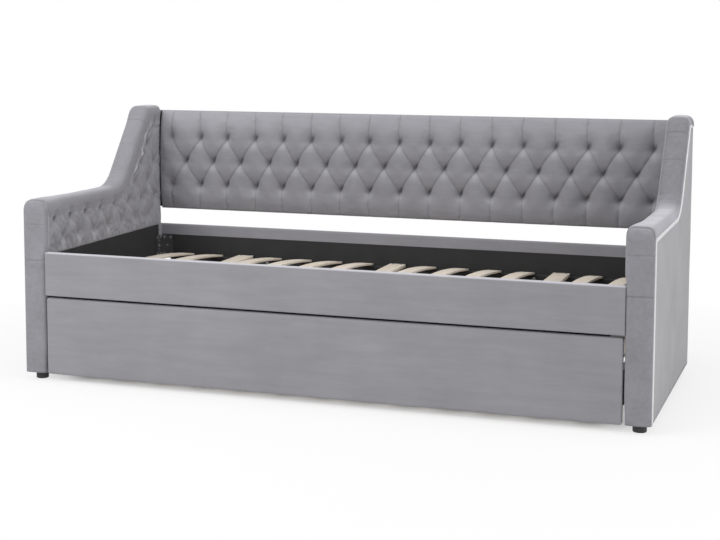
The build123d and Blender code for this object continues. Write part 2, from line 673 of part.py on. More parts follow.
bracket_screws = []
with BuildPart() as rail_brackets:
    for side in (-1, 1):
        for wall, inwards in ((FRONT_RAIL_REAR, 1), (RAIL_LINING_Y, -1)):
            corner = (side * INNER_X, wall)
            with BuildSketch(Plane.XY.offset(BRACKET_BOTTOM)):
                Polygon(
                    corner,
                    (corner[0] - side * BRACKET_LEG, wall),
                    (corner[0] - side * BRACKET_LEG, wall + inwards * BRACKET_SHEET),
                    (corner[0] - side * BRACKET_SHEET, wall + inwards * BRACKET_SHEET),
                    (corner[0] - side * BRACKET_SHEET, wall + inwards * BRACKET_LEG),
                    (corner[0], wall + inwards * BRACKET_LEG),
                    align=None,
                )
            extrude(amount=BRACKET_HEIGHT)
            bracket_screws += bracket_spots(side, wall, inwards)
    with Locations(*bracket_screws):
        Hole(SCREW_RADIUS + SCREW_HOLE_CLEARANCE, depth=BRACKET_SHEET + CUT_OVERSHOOT)
save(rail_brackets.part, "rail_brackets")
save(set_of(screw(), bracket_screws), "bracket_screws")

# Trundle front: a board in an upholstered sleeve, which stops against the front ledger
TRUNDLE_X = INNER_X - TRUNDLE_GAP
TRUNDLE_REAR = FRONT_RAIL_REAR - TRUNDLE_STOP_GAP
TRUNDLE_LOW = (-TRUNDLE_X, FRONT, TRUNDLE_FLOOR_GAP)
TRUNDLE_HIGH = (TRUNDLE_X, TRUNDLE_REAR, RAIL_BOTTOM - TRUNDLE_TOP_GAP)
save(sleeve(TRUNDLE_LOW, TRUNDLE_HIGH, TRUNDLE_COVER, RAIL_ROUND), "trundle_front_cover")
save(filling(TRUNDLE_LOW, TRUNDLE_HIGH, TRUNDLE_COVER), "trundle_front_board")

# Trundle box: two sides and a back board
TRUNDLE_SIDE_X = INNER_X - TRUNDLE_SIDE_INSET
TRUNDLE_BOX_X = TRUNDLE_SIDE_X - TRUNDLE_BOARD
TRUNDLE_BACK = TRUNDLE_REAR + TRUNDLE_BED_WIDTH
TRUNDLE_SIDE_TOP = TRUNDLE_SIDE_BOTTOM + TRUNDLE_SIDE_HEIGHT
trundle_side = board(
    (TRUNDLE_BOX_X, TRUNDLE_REAR, TRUNDLE_SIDE_BOTTOM),
    (TRUNDLE_SIDE_X, TRUNDLE_BACK + TRUNDLE_BOARD, TRUNDLE_SIDE_TOP),
)
save_pair(trundle_side, "trundle_side")
trundle_back = board(
    (-TRUNDLE_BOX_X, TRUNDLE_BACK, TRUNDLE_SIDE_BOTTOM),
    (TRUNDLE_BOX_X, TRUNDLE_BACK + TRUNDLE_BOARD, TRUNDLE_SIDE_TOP),
)
save(trundle_back, "trundle_back")

# Trundle ledgers and slats
TRUNDLE_LEDGER_TOP = TRUNDLE_SIDE_BOTTOM + LEDGER_SIZE
with BuildPart() as trundle_ledgers:
    for near in (TRUNDLE_REAR, TRUNDLE_BACK - LEDGER_SIZE):
        block(
            (-TRUNDLE_BOX_X, near, TRUNDLE_SIDE_BOTTOM),
            (TRUNDLE_BOX_X, near + LEDGER_SIZE, TRUNDLE_LEDGER_TOP),
        )
save(trundle_ledgers.part, "trundle_ledgers")
trundle_slat = board(
    (-TRUNDLE_SLAT_WIDTH / 2, TRUNDLE_REAR + TRUNDLE_SLAT_GAP, TRUNDLE_LEDGER_TOP),
    (TRUNDLE_SLAT_WIDTH / 2, TRUNDLE_BACK - TRUNDLE_SLAT_GAP, TRUNDLE_LEDGER_TOP + TRUNDLE_SLAT_THICKNESS),
)
TRUNDLE_SLAT_RUN = 2 * (TRUNDLE_BOX_X - TRUNDLE_SLAT_EDGE_GAP) - TRUNDLE_SLAT_WIDTH
TRUNDLE_SLAT_PITCH = TRUNDLE_SLAT_RUN / (TRUNDLE_SLAT_COUNT - 1)
TRUNDLE_SLAT_XS = [
    (number - (TRUNDLE_SLAT_COUNT - 1) / 2) * TRUNDLE_SLAT_PITCH for number in range(TRUNDLE_SLAT_COUNT)
]
save(set_of(trundle_slat, [(x, 0, 0) for x in TRUNDLE_SLAT_XS]), "trundle_slats")

# Castors in the trundle's corners: block, fork, axle and wheel
CASTOR_X = TRUNDLE_SIDE_X - (TRUNDLE_BOARD + CASTOR_BLOCK) / 2
CASTOR_YS = (FRONT + CASTOR_SETBACK, TRUNDLE_BACK + TRUNDLE_BOARD - CASTOR_SETBACK)
CASTOR_PLACES = [(side * CASTOR_X, y) for side in (-1, 1) for y in CASTOR_YS]
CHEEK_INNER = WHEEL_WIDTH / 2 + WHEEL_SIDE_GAP
CHEEK_OUTER = CHEEK_INNER + CASTOR_SHEET
with BuildPart() as castor_blocks:
    for side in (-1, 1):
        middle = side * (TRUNDLE_BOX_X - CASTOR_BLOCK / 2)
        with Locations(*[(middle, y, TRUNDLE_SIDE_BOTTOM) for y in CASTOR_YS]):
            Box(
                CASTOR_BLOCK,
                CASTOR_PLATE_LENGTH,
                LEDGER_SIZE,
                align=(Align.CENTER, Align.CENTER, Align.MIN),
            )
save(castor_blocks.part, "castor_blocks")

with BuildPart() as castor_fork:
    with Locations((0, 0, TRUNDLE_SIDE_BOTTOM)):
        Box(
            TRUNDLE_BOARD + CASTOR_BLOCK,
            CASTOR_PLATE_LENGTH,
            CASTOR_SHEET,
            align=(Align.CENTER, Align.CENTER, Align.MAX),
        )
    for near in (-CHEEK_OUTER, CHEEK_INNER):
        with BuildSketch(Plane.YZ.offset(near)):
            with BuildLine():
                Polyline(
                    (-CASTOR_CHEEK_LENGTH / 2, TRUNDLE_SIDE_BOTTOM - CASTOR_SHEET),
                    (-CASTOR_CHEEK_DROP, WHEEL_RADIUS),
                )
                ThreePointArc(
                    (-CASTOR_CHEEK_DROP, WHEEL_RADIUS),
                    (0, WHEEL_RADIUS - CASTOR_CHEEK_DROP),
                    (CASTOR_CHEEK_DROP, WHEEL_RADIUS),
                )
                Polyline(
                    (CASTOR_CHEEK_DROP, WHEEL_RADIUS),
                    (CASTOR_CHEEK_LENGTH / 2, TRUNDLE_SIDE_BOTTOM - CASTOR_SHEET),
                    (-CASTOR_CHEEK_LENGTH / 2, TRUNDLE_SIDE_BOTTOM - CASTOR_SHEET),
                )
            make_face()
        extrude(amount=CASTOR_SHEET)
    with Locations(facing(0, 0, WHEEL_RADIUS, (1, 0, 0))):
        Cylinder(AXLE_RADIUS + AXLE_CLEARANCE, 3 * CHEEK_OUTER, mode=Mode.SUBTRACT)
save(set_of(castor_fork.part, [(x, y, 0) for x, y in CASTOR_PLACES]), "castor_forks")

with BuildPart() as axle:
    with Locations(facing(0, 0, WHEEL_RADIUS, (1, 0, 0))):
        Cylinder(AXLE_RADIUS, 2 * CHEEK_OUTER)
        with Locations((0, 0, CHEEK_OUTER + AXLE_HEAD_HEIGHT / 2), (0, 0, -CHEEK_OUTER - AXLE_HEAD_HEIGHT / 2)):
            Cylinder(AXLE_HEAD_RADIUS, AXLE_HEAD_HEIGHT)
save(set_of(axle.part, [(x, y, 0) for x, y in CASTOR_PLACES]), "castor_axles")

with BuildPart() as wheel:
    with BuildSketch(Plane.XZ):
        with BuildLine():
            half = WHEEL_WIDTH / 2
            Polyline(
                (-half, AXLE_RADIUS + AXLE_CLEARANCE),
                (-half, WHEEL_HUB_RADIUS),
                (-half + WHEEL_DISH, WHEEL_HUB_RADIUS),
                (-half + WHEEL_DISH, WHEEL_RADIUS - WHEEL_RIM),
                (-half, WHEEL_RADIUS - WHEEL_RIM),
                (-half, WHEEL_RADIUS - WHEEL_ROUND),
                (-half + WHEEL_ROUND, WHEEL_RADIUS),
                (half - WHEEL_ROUND, WHEEL_RADIUS),
                (half, WHEEL_RADIUS - WHEEL_ROUND),
                (half, WHEEL_RADIUS - WHEEL_RIM),
                (half - WHEEL_DISH, WHEEL_RADIUS - WHEEL_RIM),
                (half - WHEEL_DISH, WHEEL_HUB_RADIUS),
                (half, WHEEL_HUB_RADIUS),
                (half, AXLE_RADIUS + AXLE_CLEARANCE),
                close=True,
            )
        make_face()
    revolve(axis=Axis.X)
WHEEL_NAMES = ("left_front_wheel", "left_rear_wheel", "right_front_wheel", "right_rear_wheel")
for name, (x, y) in zip(WHEEL_NAMES, CASTOR_PLACES):
    save(wheel.part.moved(Location((x, y, WHEEL_RADIUS))), name)
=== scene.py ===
from math import cos, pi, radians, sin, tan

import bmesh
import bpy
import numpy as np
from mathutils import Matrix, Vector


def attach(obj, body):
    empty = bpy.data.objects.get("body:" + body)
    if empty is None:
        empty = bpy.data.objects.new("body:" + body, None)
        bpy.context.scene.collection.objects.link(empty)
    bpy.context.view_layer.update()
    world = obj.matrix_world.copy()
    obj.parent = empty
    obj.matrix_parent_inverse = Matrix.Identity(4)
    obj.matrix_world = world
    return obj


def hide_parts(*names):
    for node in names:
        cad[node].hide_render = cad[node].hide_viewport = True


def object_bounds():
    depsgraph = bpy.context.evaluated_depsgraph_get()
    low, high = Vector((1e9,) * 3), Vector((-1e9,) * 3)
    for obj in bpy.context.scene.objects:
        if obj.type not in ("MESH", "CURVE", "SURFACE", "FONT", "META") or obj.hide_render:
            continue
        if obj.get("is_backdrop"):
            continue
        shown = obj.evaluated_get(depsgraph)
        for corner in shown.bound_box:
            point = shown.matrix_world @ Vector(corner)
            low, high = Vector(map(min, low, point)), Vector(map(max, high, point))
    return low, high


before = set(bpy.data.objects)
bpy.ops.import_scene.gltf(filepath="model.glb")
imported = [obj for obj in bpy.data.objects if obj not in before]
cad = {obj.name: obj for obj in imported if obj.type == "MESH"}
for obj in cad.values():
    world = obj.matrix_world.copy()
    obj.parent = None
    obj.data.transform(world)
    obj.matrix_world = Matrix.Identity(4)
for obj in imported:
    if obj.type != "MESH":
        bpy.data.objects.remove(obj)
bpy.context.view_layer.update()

scene = bpy.context.scene

# The photograph's view: a long lens at standing height, to the right of the bed
# and turned back towards it. The picture was cropped, so the lens is shifted.
camera = bpy.data.objects.new("camera", bpy.data.cameras.new("camera"))
scene.collection.objects.link(camera)
camera.data.sensor_width = 36
camera.data.lens = 76.82
camera.data.shift_x = 0.1
camera.data.shift_y = -0.12
camera.location = (1.693, -5.1536, 1.2529)
camera.rotation_euler = (radians(90 - 5.966), radians(0.115), radians(20.964))
scene.camera = camera
scene.view_settings.view_transform = "Standard"


# The studio: a white room with a pale floor, a broad lamp high over the front,
# one at the right that lights the bed's end, and a soft one overhead.
class Wire:
    """An output in a node tree: sums and products of wires add Math nodes."""

    def __init__(self, tree, socket=None):
        self.tree = tree
        self.socket = socket

    def node(self, kind, settings=(), inputs=(), out=0):
        """Adds a node: its settings first, then a value or a wire for each socket."""
        made = self.tree.nodes.new(kind)
        for key, value in dict(settings).items():
            setattr(made, key, value)
        for key, value in dict(inputs).items():
            if isinstance(value, Wire):
                self.tree.links.new(value.socket, made.inputs[key])
            else:
                made.inputs[key].default_value = value
        return Wire(self.tree, made.outputs[out]) if made.outputs else made

    def other(self, out):
        """Another output of the same node."""
        return Wire(self.tree, self.socket.node.outputs[out])

    def maths(self, operation, first, second):
        return self.node("ShaderNodeMath", {"operation": operation}, {0: first, 1: second})

    def __add__(self, other):
        return self.maths("ADD", self, other)

    __radd__ = __add__

    def __sub__(self, other):
        return self.maths("SUBTRACT", self, other)

    def __rsub__(self, other):
        return self.maths("SUBTRACT", other, self)

    def __mul__(self, other):
        return self.maths("MULTIPLY", self, other)

    __rmul__ = __mul__

    def __truediv__(self, other):
        return self.maths("DIVIDE", self, other)

    def __mod__(self, other):
        return self.maths("MODULO", self, other)


def seen_rays(tree):
    """1 for rays that show the white room itself: straight, mirrored or let through."""
    path = tree.node("ShaderNodeLightPath")
    seen = tree.maths("MAXIMUM", path.other("Is Camera Ray"), path.other("Is Glossy Ray"))
    return tree.maths("MAXIMUM", seen, path.other("Is Transmission Ray"))


def new_finish(name):
    """A new material, a wire for its nodes, and one from each point's place."""
    finish = bpy.data.materials.new(name)
    finish.use_nodes = True
    finish.node_tree.nodes.clear()
    start = Wire(finish.node_tree)
    return finish, start, start.node("ShaderNodeTexCoord").other("Object")


def ramp(tree, value, low, high, start=0, end=1):
    """A value that runs from start to end while another runs from low to high."""
    return tree.node("ShaderNodeMapRange", {}, {0: value, 1: low, 2: high, 3: start, 4: end})


def placed(name, data):
    """A new object in the scene."""
    thing = bpy.data.objects.new(name, data)
    scene.collection.objects.link(thing)
    return thing


def softbox(name, place, aim, width, height, power):
    """A rectangular studio lamp that looks at a point."""
    lamp = bpy.data.lights.new(name, "AREA")
    lamp.shape = "RECTANGLE"
    lamp.size = width
    lamp.size_y = height
    lamp.energy = power
    stand = placed(name, lamp)
    stand.location = place
    stand.rotation_euler = (Vector(aim) - Vector(place)).to_track_quat("-Z", "Y").to_euler()


studio = bpy.data.worlds.new("studio")
scene.world = studio
studio.use_nodes = True
studio.node_tree.nodes.clear()
air = Wire(studio.node_tree)
glow = air.node("ShaderNodeBackground", {}, {"Color": (1, 1, 1, 1), "Strength": 0.5})
white = air.node("ShaderNodeBackground", {}, {"Color": (1, 1, 1, 1), "Strength": 1})
room = air.node("ShaderNodeMixShader", {}, {0: seen_rays(air), 1: glow, 2: white})
air.node("ShaderNodeOutputWorld", {}, {"Surface": room})
softbox("front_lamp", (-2.5, -3.5, 2.7), (0, 0, 0.4), 2.6, 1.6, 109)
softbox("right_lamp", (4.4, -1.2, 1.9), (1.0, 0, 0.5), 2.2, 2.2, 60)
softbox("top_lamp", (0.2, -0.4, 3.6), (0, 0.1, 0), 3.2, 1.4, 38)

FLOOR = 30
floor_mesh = bpy.data.meshes.new("floor")
corners = [(-FLOOR, -FLOOR, 0), (FLOOR, -FLOOR, 0), (FLOOR, FLOOR, 0), (-FLOOR, FLOOR, 0)]
floor_mesh.from_pydata(corners, [], [(0, 1, 2, 3)])
floor = placed("floor", floor_mesh)
floor_paint, base, place = new_finish("pale_floor")
reach = base.node("ShaderNodeVectorMath", {"operation": "LENGTH"}, {0: place}, out="Value")
fade = ramp(base, reach, 0.9, 2.2, 0.7, 1.0)
spread = base.node("ShaderNodeVectorMath", {"operation": "ABSOLUTE"}, {0: place})
spread = base.node("ShaderNodeSeparateXYZ", {}, {0: spread})
along = ramp(base, spread.other("X"), 0.9, 1.05, 1, 0)
inward = ramp(base, spread.other("Y"), 0.38, 0.48, 1, 0)
fade = fade * (1 - along * inward)
paint = base.node("ShaderNodeBsdfDiffuse", {}, {"Color": (0.86, 0.86, 0.86, 1)})
light = base.node("ShaderNodeEmission", {}, {"Color": (1, 1, 1, 1), "Strength": 1})
surface = base.node("ShaderNodeMixShader", {}, {0: seen_rays(base) * fade, 1: paint, 2: light})
base.node("ShaderNodeOutputMaterial", {}, {"Surface": surface})
floor_mesh.materials.append(floor_paint)
floor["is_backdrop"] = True


# Arm timbers: the solid ends of the bed, cut with a swept top edge. Only their
# rear edges stay in sight, and velvet is stapled over those.
FRONT = -0.5
REAR = 0.45
INNER_X = 1.007
OUTER_X = 1.087
FOOT_TOP = 0.028
EDGE_FRONT = FRONT + 0.024
EDGE_LOW = 0.598
EDGE_HIGH = 0.889
SLOPE = radians(51.5)
SLOPE_TOP = REAR - 0.098
SLOPE_FOOT = SLOPE_TOP - (EDGE_HIGH - EDGE_LOW) / tan(SLOPE)
SWEEP = 0.185
SHOULDER = 0.026
NOSE = 0.012
# Colour factors of the velvets' painted shade and painted highlight.
PAINTED_SHADE_TONE = 0.22
PAINTED_HIGHLIGHT_TONE = 2.1


def noise(tree, place, scale, detail, rough=0.5):
    """Cloudy noise at a place."""
    inputs = {"Vector": place, "Scale": scale, "Detail": detail, "Roughness": rough}
    return tree.node("ShaderNodeTexNoise", {}, inputs)


def blend(tree, share, first, second):
    """A colour between two others."""
    return tree.node("ShaderNodeMix", {"data_type": "RGBA"}, {0: share, 6: first, 7: second}, out=2)


def tones(tone, *factors):
    """A colour made darker or paler by each factor."""
    return [[c * factor for c in tone] + [1] for factor in factors]


def surface_of(tree, inputs):
    """Ends a material with one surface that has the given inputs."""
    skin = tree.node("ShaderNodeBsdfPrincipled", {}, inputs)
    tree.node("ShaderNodeOutputMaterial", {}, {"Surface": skin})


def velvet(name, tone, nap, sheen=0.3, mottle=0.10, laid=1.0, patch=6, painted_light=False):
    """Grey velvet: cloudy pressed patches, streaks along the nap and a soft sheen.

    Towards the rear its colour is darker by the factor laid: painted shade on the sloped rear part.
    When the flag is set, an attribute of the piece paints light: 1 darkens to painted shade, -1 pales to
    a painted highlight."""
    finish, cloth, place = new_finish(name)
    combed = cloth.node("ShaderNodeMapping", {}, {"Vector": place, "Scale": nap})
    streaks = noise(cloth, combed, 1, 4, 0.6)
    clouds = noise(cloth, place, patch, 4, 0.6)
    pile = noise(cloth, place, 900, 2)
    share = ramp(cloth, 0.4 * streaks + 0.5 * clouds + 0.1 * pile, 0.32, 0.68)
    colour = blend(cloth, share, *tones(tone, 1 - mottle, 1 + mottle))
    # Painted shade: darker towards the rear, over the slope of the bands.
    if laid < 1:
        rearward = cloth.node("ShaderNodeSeparateXYZ", {}, {0: place}, out="Y")
        darker = blend(cloth, 1 - laid, colour, (0, 0, 0, 1))
        colour = blend(cloth, ramp(cloth, rearward, 0.02, 0.17), colour, darker)
    # Painted light and shade from an attribute of the piece.
    if painted_light:
        light_paint = cloth.node("ShaderNodeAttribute", {"attribute_name": "painted_light"}, out="Fac")
        for end, shaded in zip((1, -1), tones(tone, PAINTED_SHADE_TONE, PAINTED_HIGHLIGHT_TONE)):
            colour = blend(cloth, ramp(cloth, light_paint, 0, end), colour, shaded)
    height = 0.6 * pile + 0.4 * streaks
    relief = cloth.node("ShaderNodeBump", {}, {"Height": height, "Strength": 0.25, "Distance": 0.0006})
    surface_of(
        cloth,
        {
            "Base Color": colour,
            "Roughness": 0.82 + 0.12 * clouds,
            "Normal": relief,
            "Specular IOR Level": 0.25,
            "Sheen Weight": sheen,
            "Sheen Roughness": 0.35,
            "Sheen Tint": (0.94, 0.94, 1.0, 1),
        },
    )
    return finish


def dress(names, finish):
    """Gives pieces that keep their constructed shape their finish."""
    for name in names:
        cad[name].data.materials.clear()
        cad[name].data.materials.append(finish)


GREY = (0.262, 0.260, 0.283)
dress(["left_arm_core", "right_arm_core"], velvet("rear_velvet", GREY, (60, 60, 8)))


# Tufted pads inside the arms: velvet over foam, pulled in at buttons on a
# diamond grid, with folded pleats between them and down to the lower edge.
ARM_PITCH = 0.115
ARM_RISE = 0.070
ARM_LOW_ROW = 0.492
ARM_FIRST = FRONT + 0.092
PAD_BOTTOM = 0.441
ARM_PAD = 0.023
FOAM_PRESS = 4
FOAM_GIVE = 0.004
EASE_FRAMES = 20
HANDS = ((1, "right"), (-1, "left"))
ARM_DEEPEST = 0.0185
# The arm pads are painted a paler grey than the back and rails: painted light.
PALE_GREY = (0.306, 0.304, 0.330)
inner_velvet = velvet("inner_velvet", PALE_GREY, (90, 90, 26), mottle=0.16, patch=28, painted_light=True)


def timber_edge(step):
    """Points (Y, Z) along the arm timber's edge, from the front foot to the rear, and normals."""
    corner_ys = [EDGE_FRONT, EDGE_FRONT, SLOPE_FOOT, SLOPE_TOP, REAR]
    corner_zs = [FOOT_TOP, EDGE_LOW, EDGE_LOW, EDGE_HIGH, EDGE_HIGH]
    corners = np.stack([corner_ys, corner_zs], axis=1)
    points, start = [], corners[0]
    for k, radius in enumerate((NOSE, SWEEP, SHOULDER), 1):
        ahead = corners[k] - corners[k - 1]
        after = corners[k + 1] - corners[k]
        ahead, after = ahead / np.linalg.norm(ahead), after / np.linalg.norm(after)
        turn = np.arctan2(ahead[0] * after[1] - ahead[1] * after[0], ahead @ after)
        cut = radius * tan(abs(turn) / 2)
        end = corners[k] - cut * ahead
        count = int(np.linalg.norm(end - start) / step) + 2
        points += [start + (end - start) * i / count for i in range(count)]
        spoke = -radius * np.array([-ahead[1], ahead[0]]) * np.sign(turn)
        count = int(abs(turn) * radius / step) + 8
        for i in range(count):
            c, s = cos(turn * i / count), sin(turn * i / count)
            points.append(end - spoke + (spoke[0] * c - spoke[1] * s, spoke[0] * s + spoke[1] * c))
        start = corners[k] + cut * after
    count = int(np.linalg.norm(corners[4] - start) / step) + 2
    points += [start + (corners[4] - start) * i / count for i in range(count + 1)]
    points = np.array(points)
    along = np.gradient(points, axis=0)
    along /= np.linalg.norm(along, axis=1)[:, None]
    return points, np.stack([-along[:, 1], along[:, 0]], axis=1)


def ripple(points, seed, size, height):
    """A smooth, repeatable unevenness over points, like hand-laid wadding."""
    dice = np.random.default_rng(seed)
    total = np.zeros(len(points))
    for _ in range(14):
        wave = dice.normal(0, 1, points.shape[1])
        wave *= 2 * pi / size / np.linalg.norm(wave) * dice.uniform(0.6, 1.6)
        total += np.sin(points @ wave + dice.uniform(0, 2 * pi))
    return total * height / 4


def new_piece(name, points, faces, finish, painted_light=None):
    """A smooth mesh piece at the origin, its faces turned outwards."""
    mesh = bpy.data.meshes.new(name)
    mesh.from_pydata([tuple(p) for p in points], [], faces)
    if painted_light is not None:
        mesh.attributes.new("painted_light", "FLOAT", "POINT").data.foreach_set("value", np.ravel(painted_light))
    shape = bmesh.new()
    shape.from_mesh(mesh)
    bmesh.ops.delete(shape, geom=[v for v in shape.verts if not v.link_faces], context="VERTS")
    bmesh.ops.recalc_face_normals(shape, faces=shape.faces)
    shape.to_mesh(mesh)
    shape.free()
    mesh.shade_smooth()
    mesh.materials.append(finish)
    return placed(name, mesh)


def smooth_step(value, low, high):
    """0 below low, 1 above high, with a soft rise between."""
    share = np.clip((value - low) / (high - low), 0, 1)
    return share * share * (3 - 2 * share)


def bump(value, width, power=2):
    """A soft bump: 1 at nought, and next to nothing well beyond the width."""
    return np.exp(-((value / width) ** power))


def rolled(gap, radius, most):
    """How far a rounded edge falls back at a distance from the edge."""
    return radius - np.sqrt(radius**2 - np.clip(radius - gap, 0, most) ** 2)


def to_folds(points, folds):
    """Distance from each point to the nearest fold line."""
    best = np.full(len(points), 9.0)
    for a, b in folds:
        a, way = np.array(a), np.array(b) - a
        share = np.clip((points - a) @ way / (way @ way), 0, 1)
        best = np.minimum(best, np.linalg.norm(points - a - share[:, None] * way, axis=1))
    return best


def to_tufts(points, tufts):
    """Distance to the nearest tuft, longer below it than above, where the cloth hangs."""
    best = np.full(len(points), 9.0)
    for a in tufts:
        way = points - np.array(a)
        way[:, 1] *= np.where(way[:, 1] > 0, 0.66, 1.12)
        best = np.minimum(best, np.linalg.norm(way, axis=1))
    return best


def pulled_in(points, tufts, folds, pleat, deep):
    """How far the cloth lies below its crest: thin pleats, and a pit at each tuft."""
    fold = to_folds(points, folds)
    pit = to_tufts(points, tufts)
    depth = pleat * (np.exp(-fold / 0.009) + 0.9 * np.exp(-fold / 0.0022))
    return depth + deep * bump(pit, 0.0145, 1.5) + 0.42 * deep * bump(pit, 0.031)


def tuft_shading(points, tufts, lean, dark, pale):
    """Painted light at tufts: painted shade on the side that the cloth leans to, and a painted highlight
    below.
    """
    total = np.zeros(len(points))
    along, aside = np.array([sin(lean), cos(lean)]), np.array([cos(lean), -sin(lean)])
    for a in tufts:
        way = points - np.array(a)
        total += dark * bump(way @ aside, 0.0066) * bump(way @ along - 0.009, 0.015)
        total -= pale * bump(way[:, 0], 0.013) * bump(way[:, 1] + 0.023, 0.018)
    return total


def diamond_folds(tufts, pitch, rise):
    """Pleats between neighbouring tufts of the diamond grid."""
    pairs = []
    for a in tufts:
        for b in tufts:
            if abs(b[1] - a[1] - rise) < 0.001 and abs(abs(b[0] - a[0]) - pitch / 2) < 0.001:
                pairs.append((a, b))
    return pairs


def grid_lines(low, high, tuft, step):
    """Grid lines that pass through a tuft and end at both edges, with a few more near these."""
    near = [0, 0.001, 0.0035, 0.007]
    first, last = int(np.ceil((low - tuft) / step)), int(np.floor((high - tuft) / step))
    lines = [tuft + k * step for k in range(first, last + 1)]
    lines = [v for v in lines if low + 0.009 < v < high - 0.009]
    return np.array(sorted(lines + [low + v for v in near] + [high - v for v in near]))


def sheet_faces(keep, depth):
    """Triangles of a grid, split along the deeper diagonal so that pleats stay sharp."""
    columns, rows = keep.shape
    faces = []
    for i in range(columns - 1):
        for j in range(rows - 1):
            if keep[i : i + 2, j : j + 2].all():
                a, b = i * rows + j, (i + 1) * rows + j
                if depth[i, j] + depth[i + 1, j + 1] > depth[i + 1, j] + depth[i, j + 1]:
                    faces += [(a, b, b + 1), (a, b + 1, a + 1)]
                else:
                    faces += [(a, b, a + 1), (b, b + 1, a + 1)]
    return faces


def close_back(piece, axis, place):
    """Gives an open padded sheet its flat back."""
    shape = bmesh.new()
    shape.from_mesh(piece.data)
    rim = [e for e in shape.edges if e.is_boundary]
    wall = bmesh.ops.extrude_edge_only(shape, edges=rim)["geom"]
    for v in wall:
        if isinstance(v, bmesh.types.BMVert):
            v.co[axis] = place
    bmesh.ops.contextual_create(shape, geom=[e for e in wall if isinstance(e, bmesh.types.BMEdge)])
    bmesh.ops.recalc_face_normals(shape, faces=shape.faces)
    shape.to_mesh(piece.data)
    shape.free()


def settled(piece):
    """The mesh of a piece as its modifiers leave it."""
    ready = bpy.context.evaluated_depsgraph_get()
    return bpy.data.meshes.new_from_object(piece.evaluated_get(ready))


def eased(us, vs, depth, tied, spare):
    """How far velvet cut too large by the share spare moves when foam presses on it and it is tied.
"""
    wide = (len(us), len(vs))
    level, tied = (-depth).reshape(wide)[::2, ::2], tied.reshape(wide)[::2, ::2]
    count, rows = level.shape
    spots = [(u, v, level[i, j]) for i, u in enumerate(us[::2]) for j, v in enumerate(vs[::2])]
    corners = [i * rows + j for i in range(count - 1) for j in range(rows - 1)]
    mesh = bpy.data.meshes.new("cloth")
    mesh.from_pydata(spots, [], [(k, k + rows, k + rows + 1, k + 1) for k in corners])
    sheet = placed("cloth", mesh)
    sheet.vertex_groups.new(name="tied")
    for k, share in enumerate(tied.ravel()):
        sheet.vertex_groups["tied"].add([k], share, "REPLACE")
    cloth = sheet.modifiers.new("cloth", "CLOTH")
    cloth.settings.vertex_group_mass = "tied"
    cloth.settings.effector_weights.gravity = 0
    cloth.settings.use_pressure = True
    cloth.settings.uniform_pressure_force = FOAM_PRESS
    cloth.settings.shrink_min = -spare
    cloth.settings.bending_stiffness = 0.3
    cloth.collision_settings.use_collision = False
    for moment in range(1, EASE_FRAMES + 1):
        scene.frame_set(moment)
    after = settled(sheet)
    place = np.empty(3 * len(spots))
    after.vertices.foreach_get("co", place)
    bpy.data.objects.remove(sheet)
    scene.frame_set(1)
    out = np.clip(place[2::3].reshape(level.shape) - level, -FOAM_GIVE, FOAM_GIVE)
    out = np.array([np.interp(vs, vs[::2], line) for line in out])
    return np.array([np.interp(us, us[::2], line) for line in out.T]).T.ravel()


edge, outward = timber_edge(0.0025)
run = np.concatenate([[0], np.cumsum(np.linalg.norm(np.diff(edge, axis=0), axis=1))])


def outside(points):
    """Signed distance of (Y, Z) points outside the arm timber's front and top edge."""
    best, out = np.full(len(points), 9.0), np.zeros(len(points))
    for p, n in zip(edge, outward):
        gap = np.linalg.norm(points - p, axis=1)
        near = gap < best
        out[near] = ((points - p) @ n)[near]
        best = np.minimum(best, gap)
    return out


def timber_top(y):
    """Height of the timber's top edge."""
    return min(EDGE_LOW + max(0, y - SLOPE_FOOT) * tan(SLOPE), EDGE_HIGH)


arm_tufts = []
for row in range(6):
    z = ARM_LOW_ROW + row * ARM_RISE
    for column in range(9):
        y = ARM_FIRST + (ARM_PITCH / 2 if row % 2 == 0 else 0) + column * ARM_PITCH
        if y < REAR - 0.027 and z < timber_top(y - 0.012) - 0.012:
            arm_tufts.append((y, z))
arm_folds = diamond_folds(arm_tufts, ARM_PITCH, ARM_RISE)
for y, z in arm_tufts:
    if z < ARM_LOW_ROW + 0.01:
        arm_folds.append(((y, z), (y, PAD_BOTTOM - 0.01)))
    elif not any(a == (y, z) for a, b in arm_folds):
        arm_folds.append(((y, z), (y, z + 0.035)))


def slope_fold(spots, beyond):
    """The long loose fold that climbs each arm pad beside the slope."""
    z = spots[:, 1]
    wander = 0.009 * np.sin(2 * pi * z / 0.14) + 0.0055 * np.sin(2 * pi * z / 0.052 + 1)
    across = (beyond + 0.030 + wander) / 0.006
    swell = 0.65 + 0.35 * np.sin(2 * pi * z / 0.061)
    share = bump(across, 1) - 0.4 * bump(across + 2.2, 1)
    return share * swell * smooth_step(z, 0.61, 0.66) * (1 - smooth_step(z, 0.835, 0.862))


def arm_depth(spots):
    """How far the arm pad's cloth lies behind the plane of the inner face."""
    beyond = outside(spots)
    depth = pulled_in(spots, arm_tufts, arm_folds, 0.0005, 0.0070) * np.clip(1 - beyond / 0.012, 0, 1)
    depth += rolled(spots[:, 1] - PAD_BOTTOM, 0.008, 0.0079)
    depth += rolled(REAR - spots[:, 0], 0.004, 0.0039)
    inside = np.clip(-beyond / 0.03, 0, 1) * np.clip((spots[:, 1] - PAD_BOTTOM) / 0.03, 0, 1)
    depth += (ripple(spots, 31, 0.09, 0.0007) + ripple(spots, 32, 0.03, 0.0006) + 0.0012) * inside
    return np.clip(depth - 0.006 * slope_fold(spots, beyond), -0.004, ARM_DEEPEST), beyond


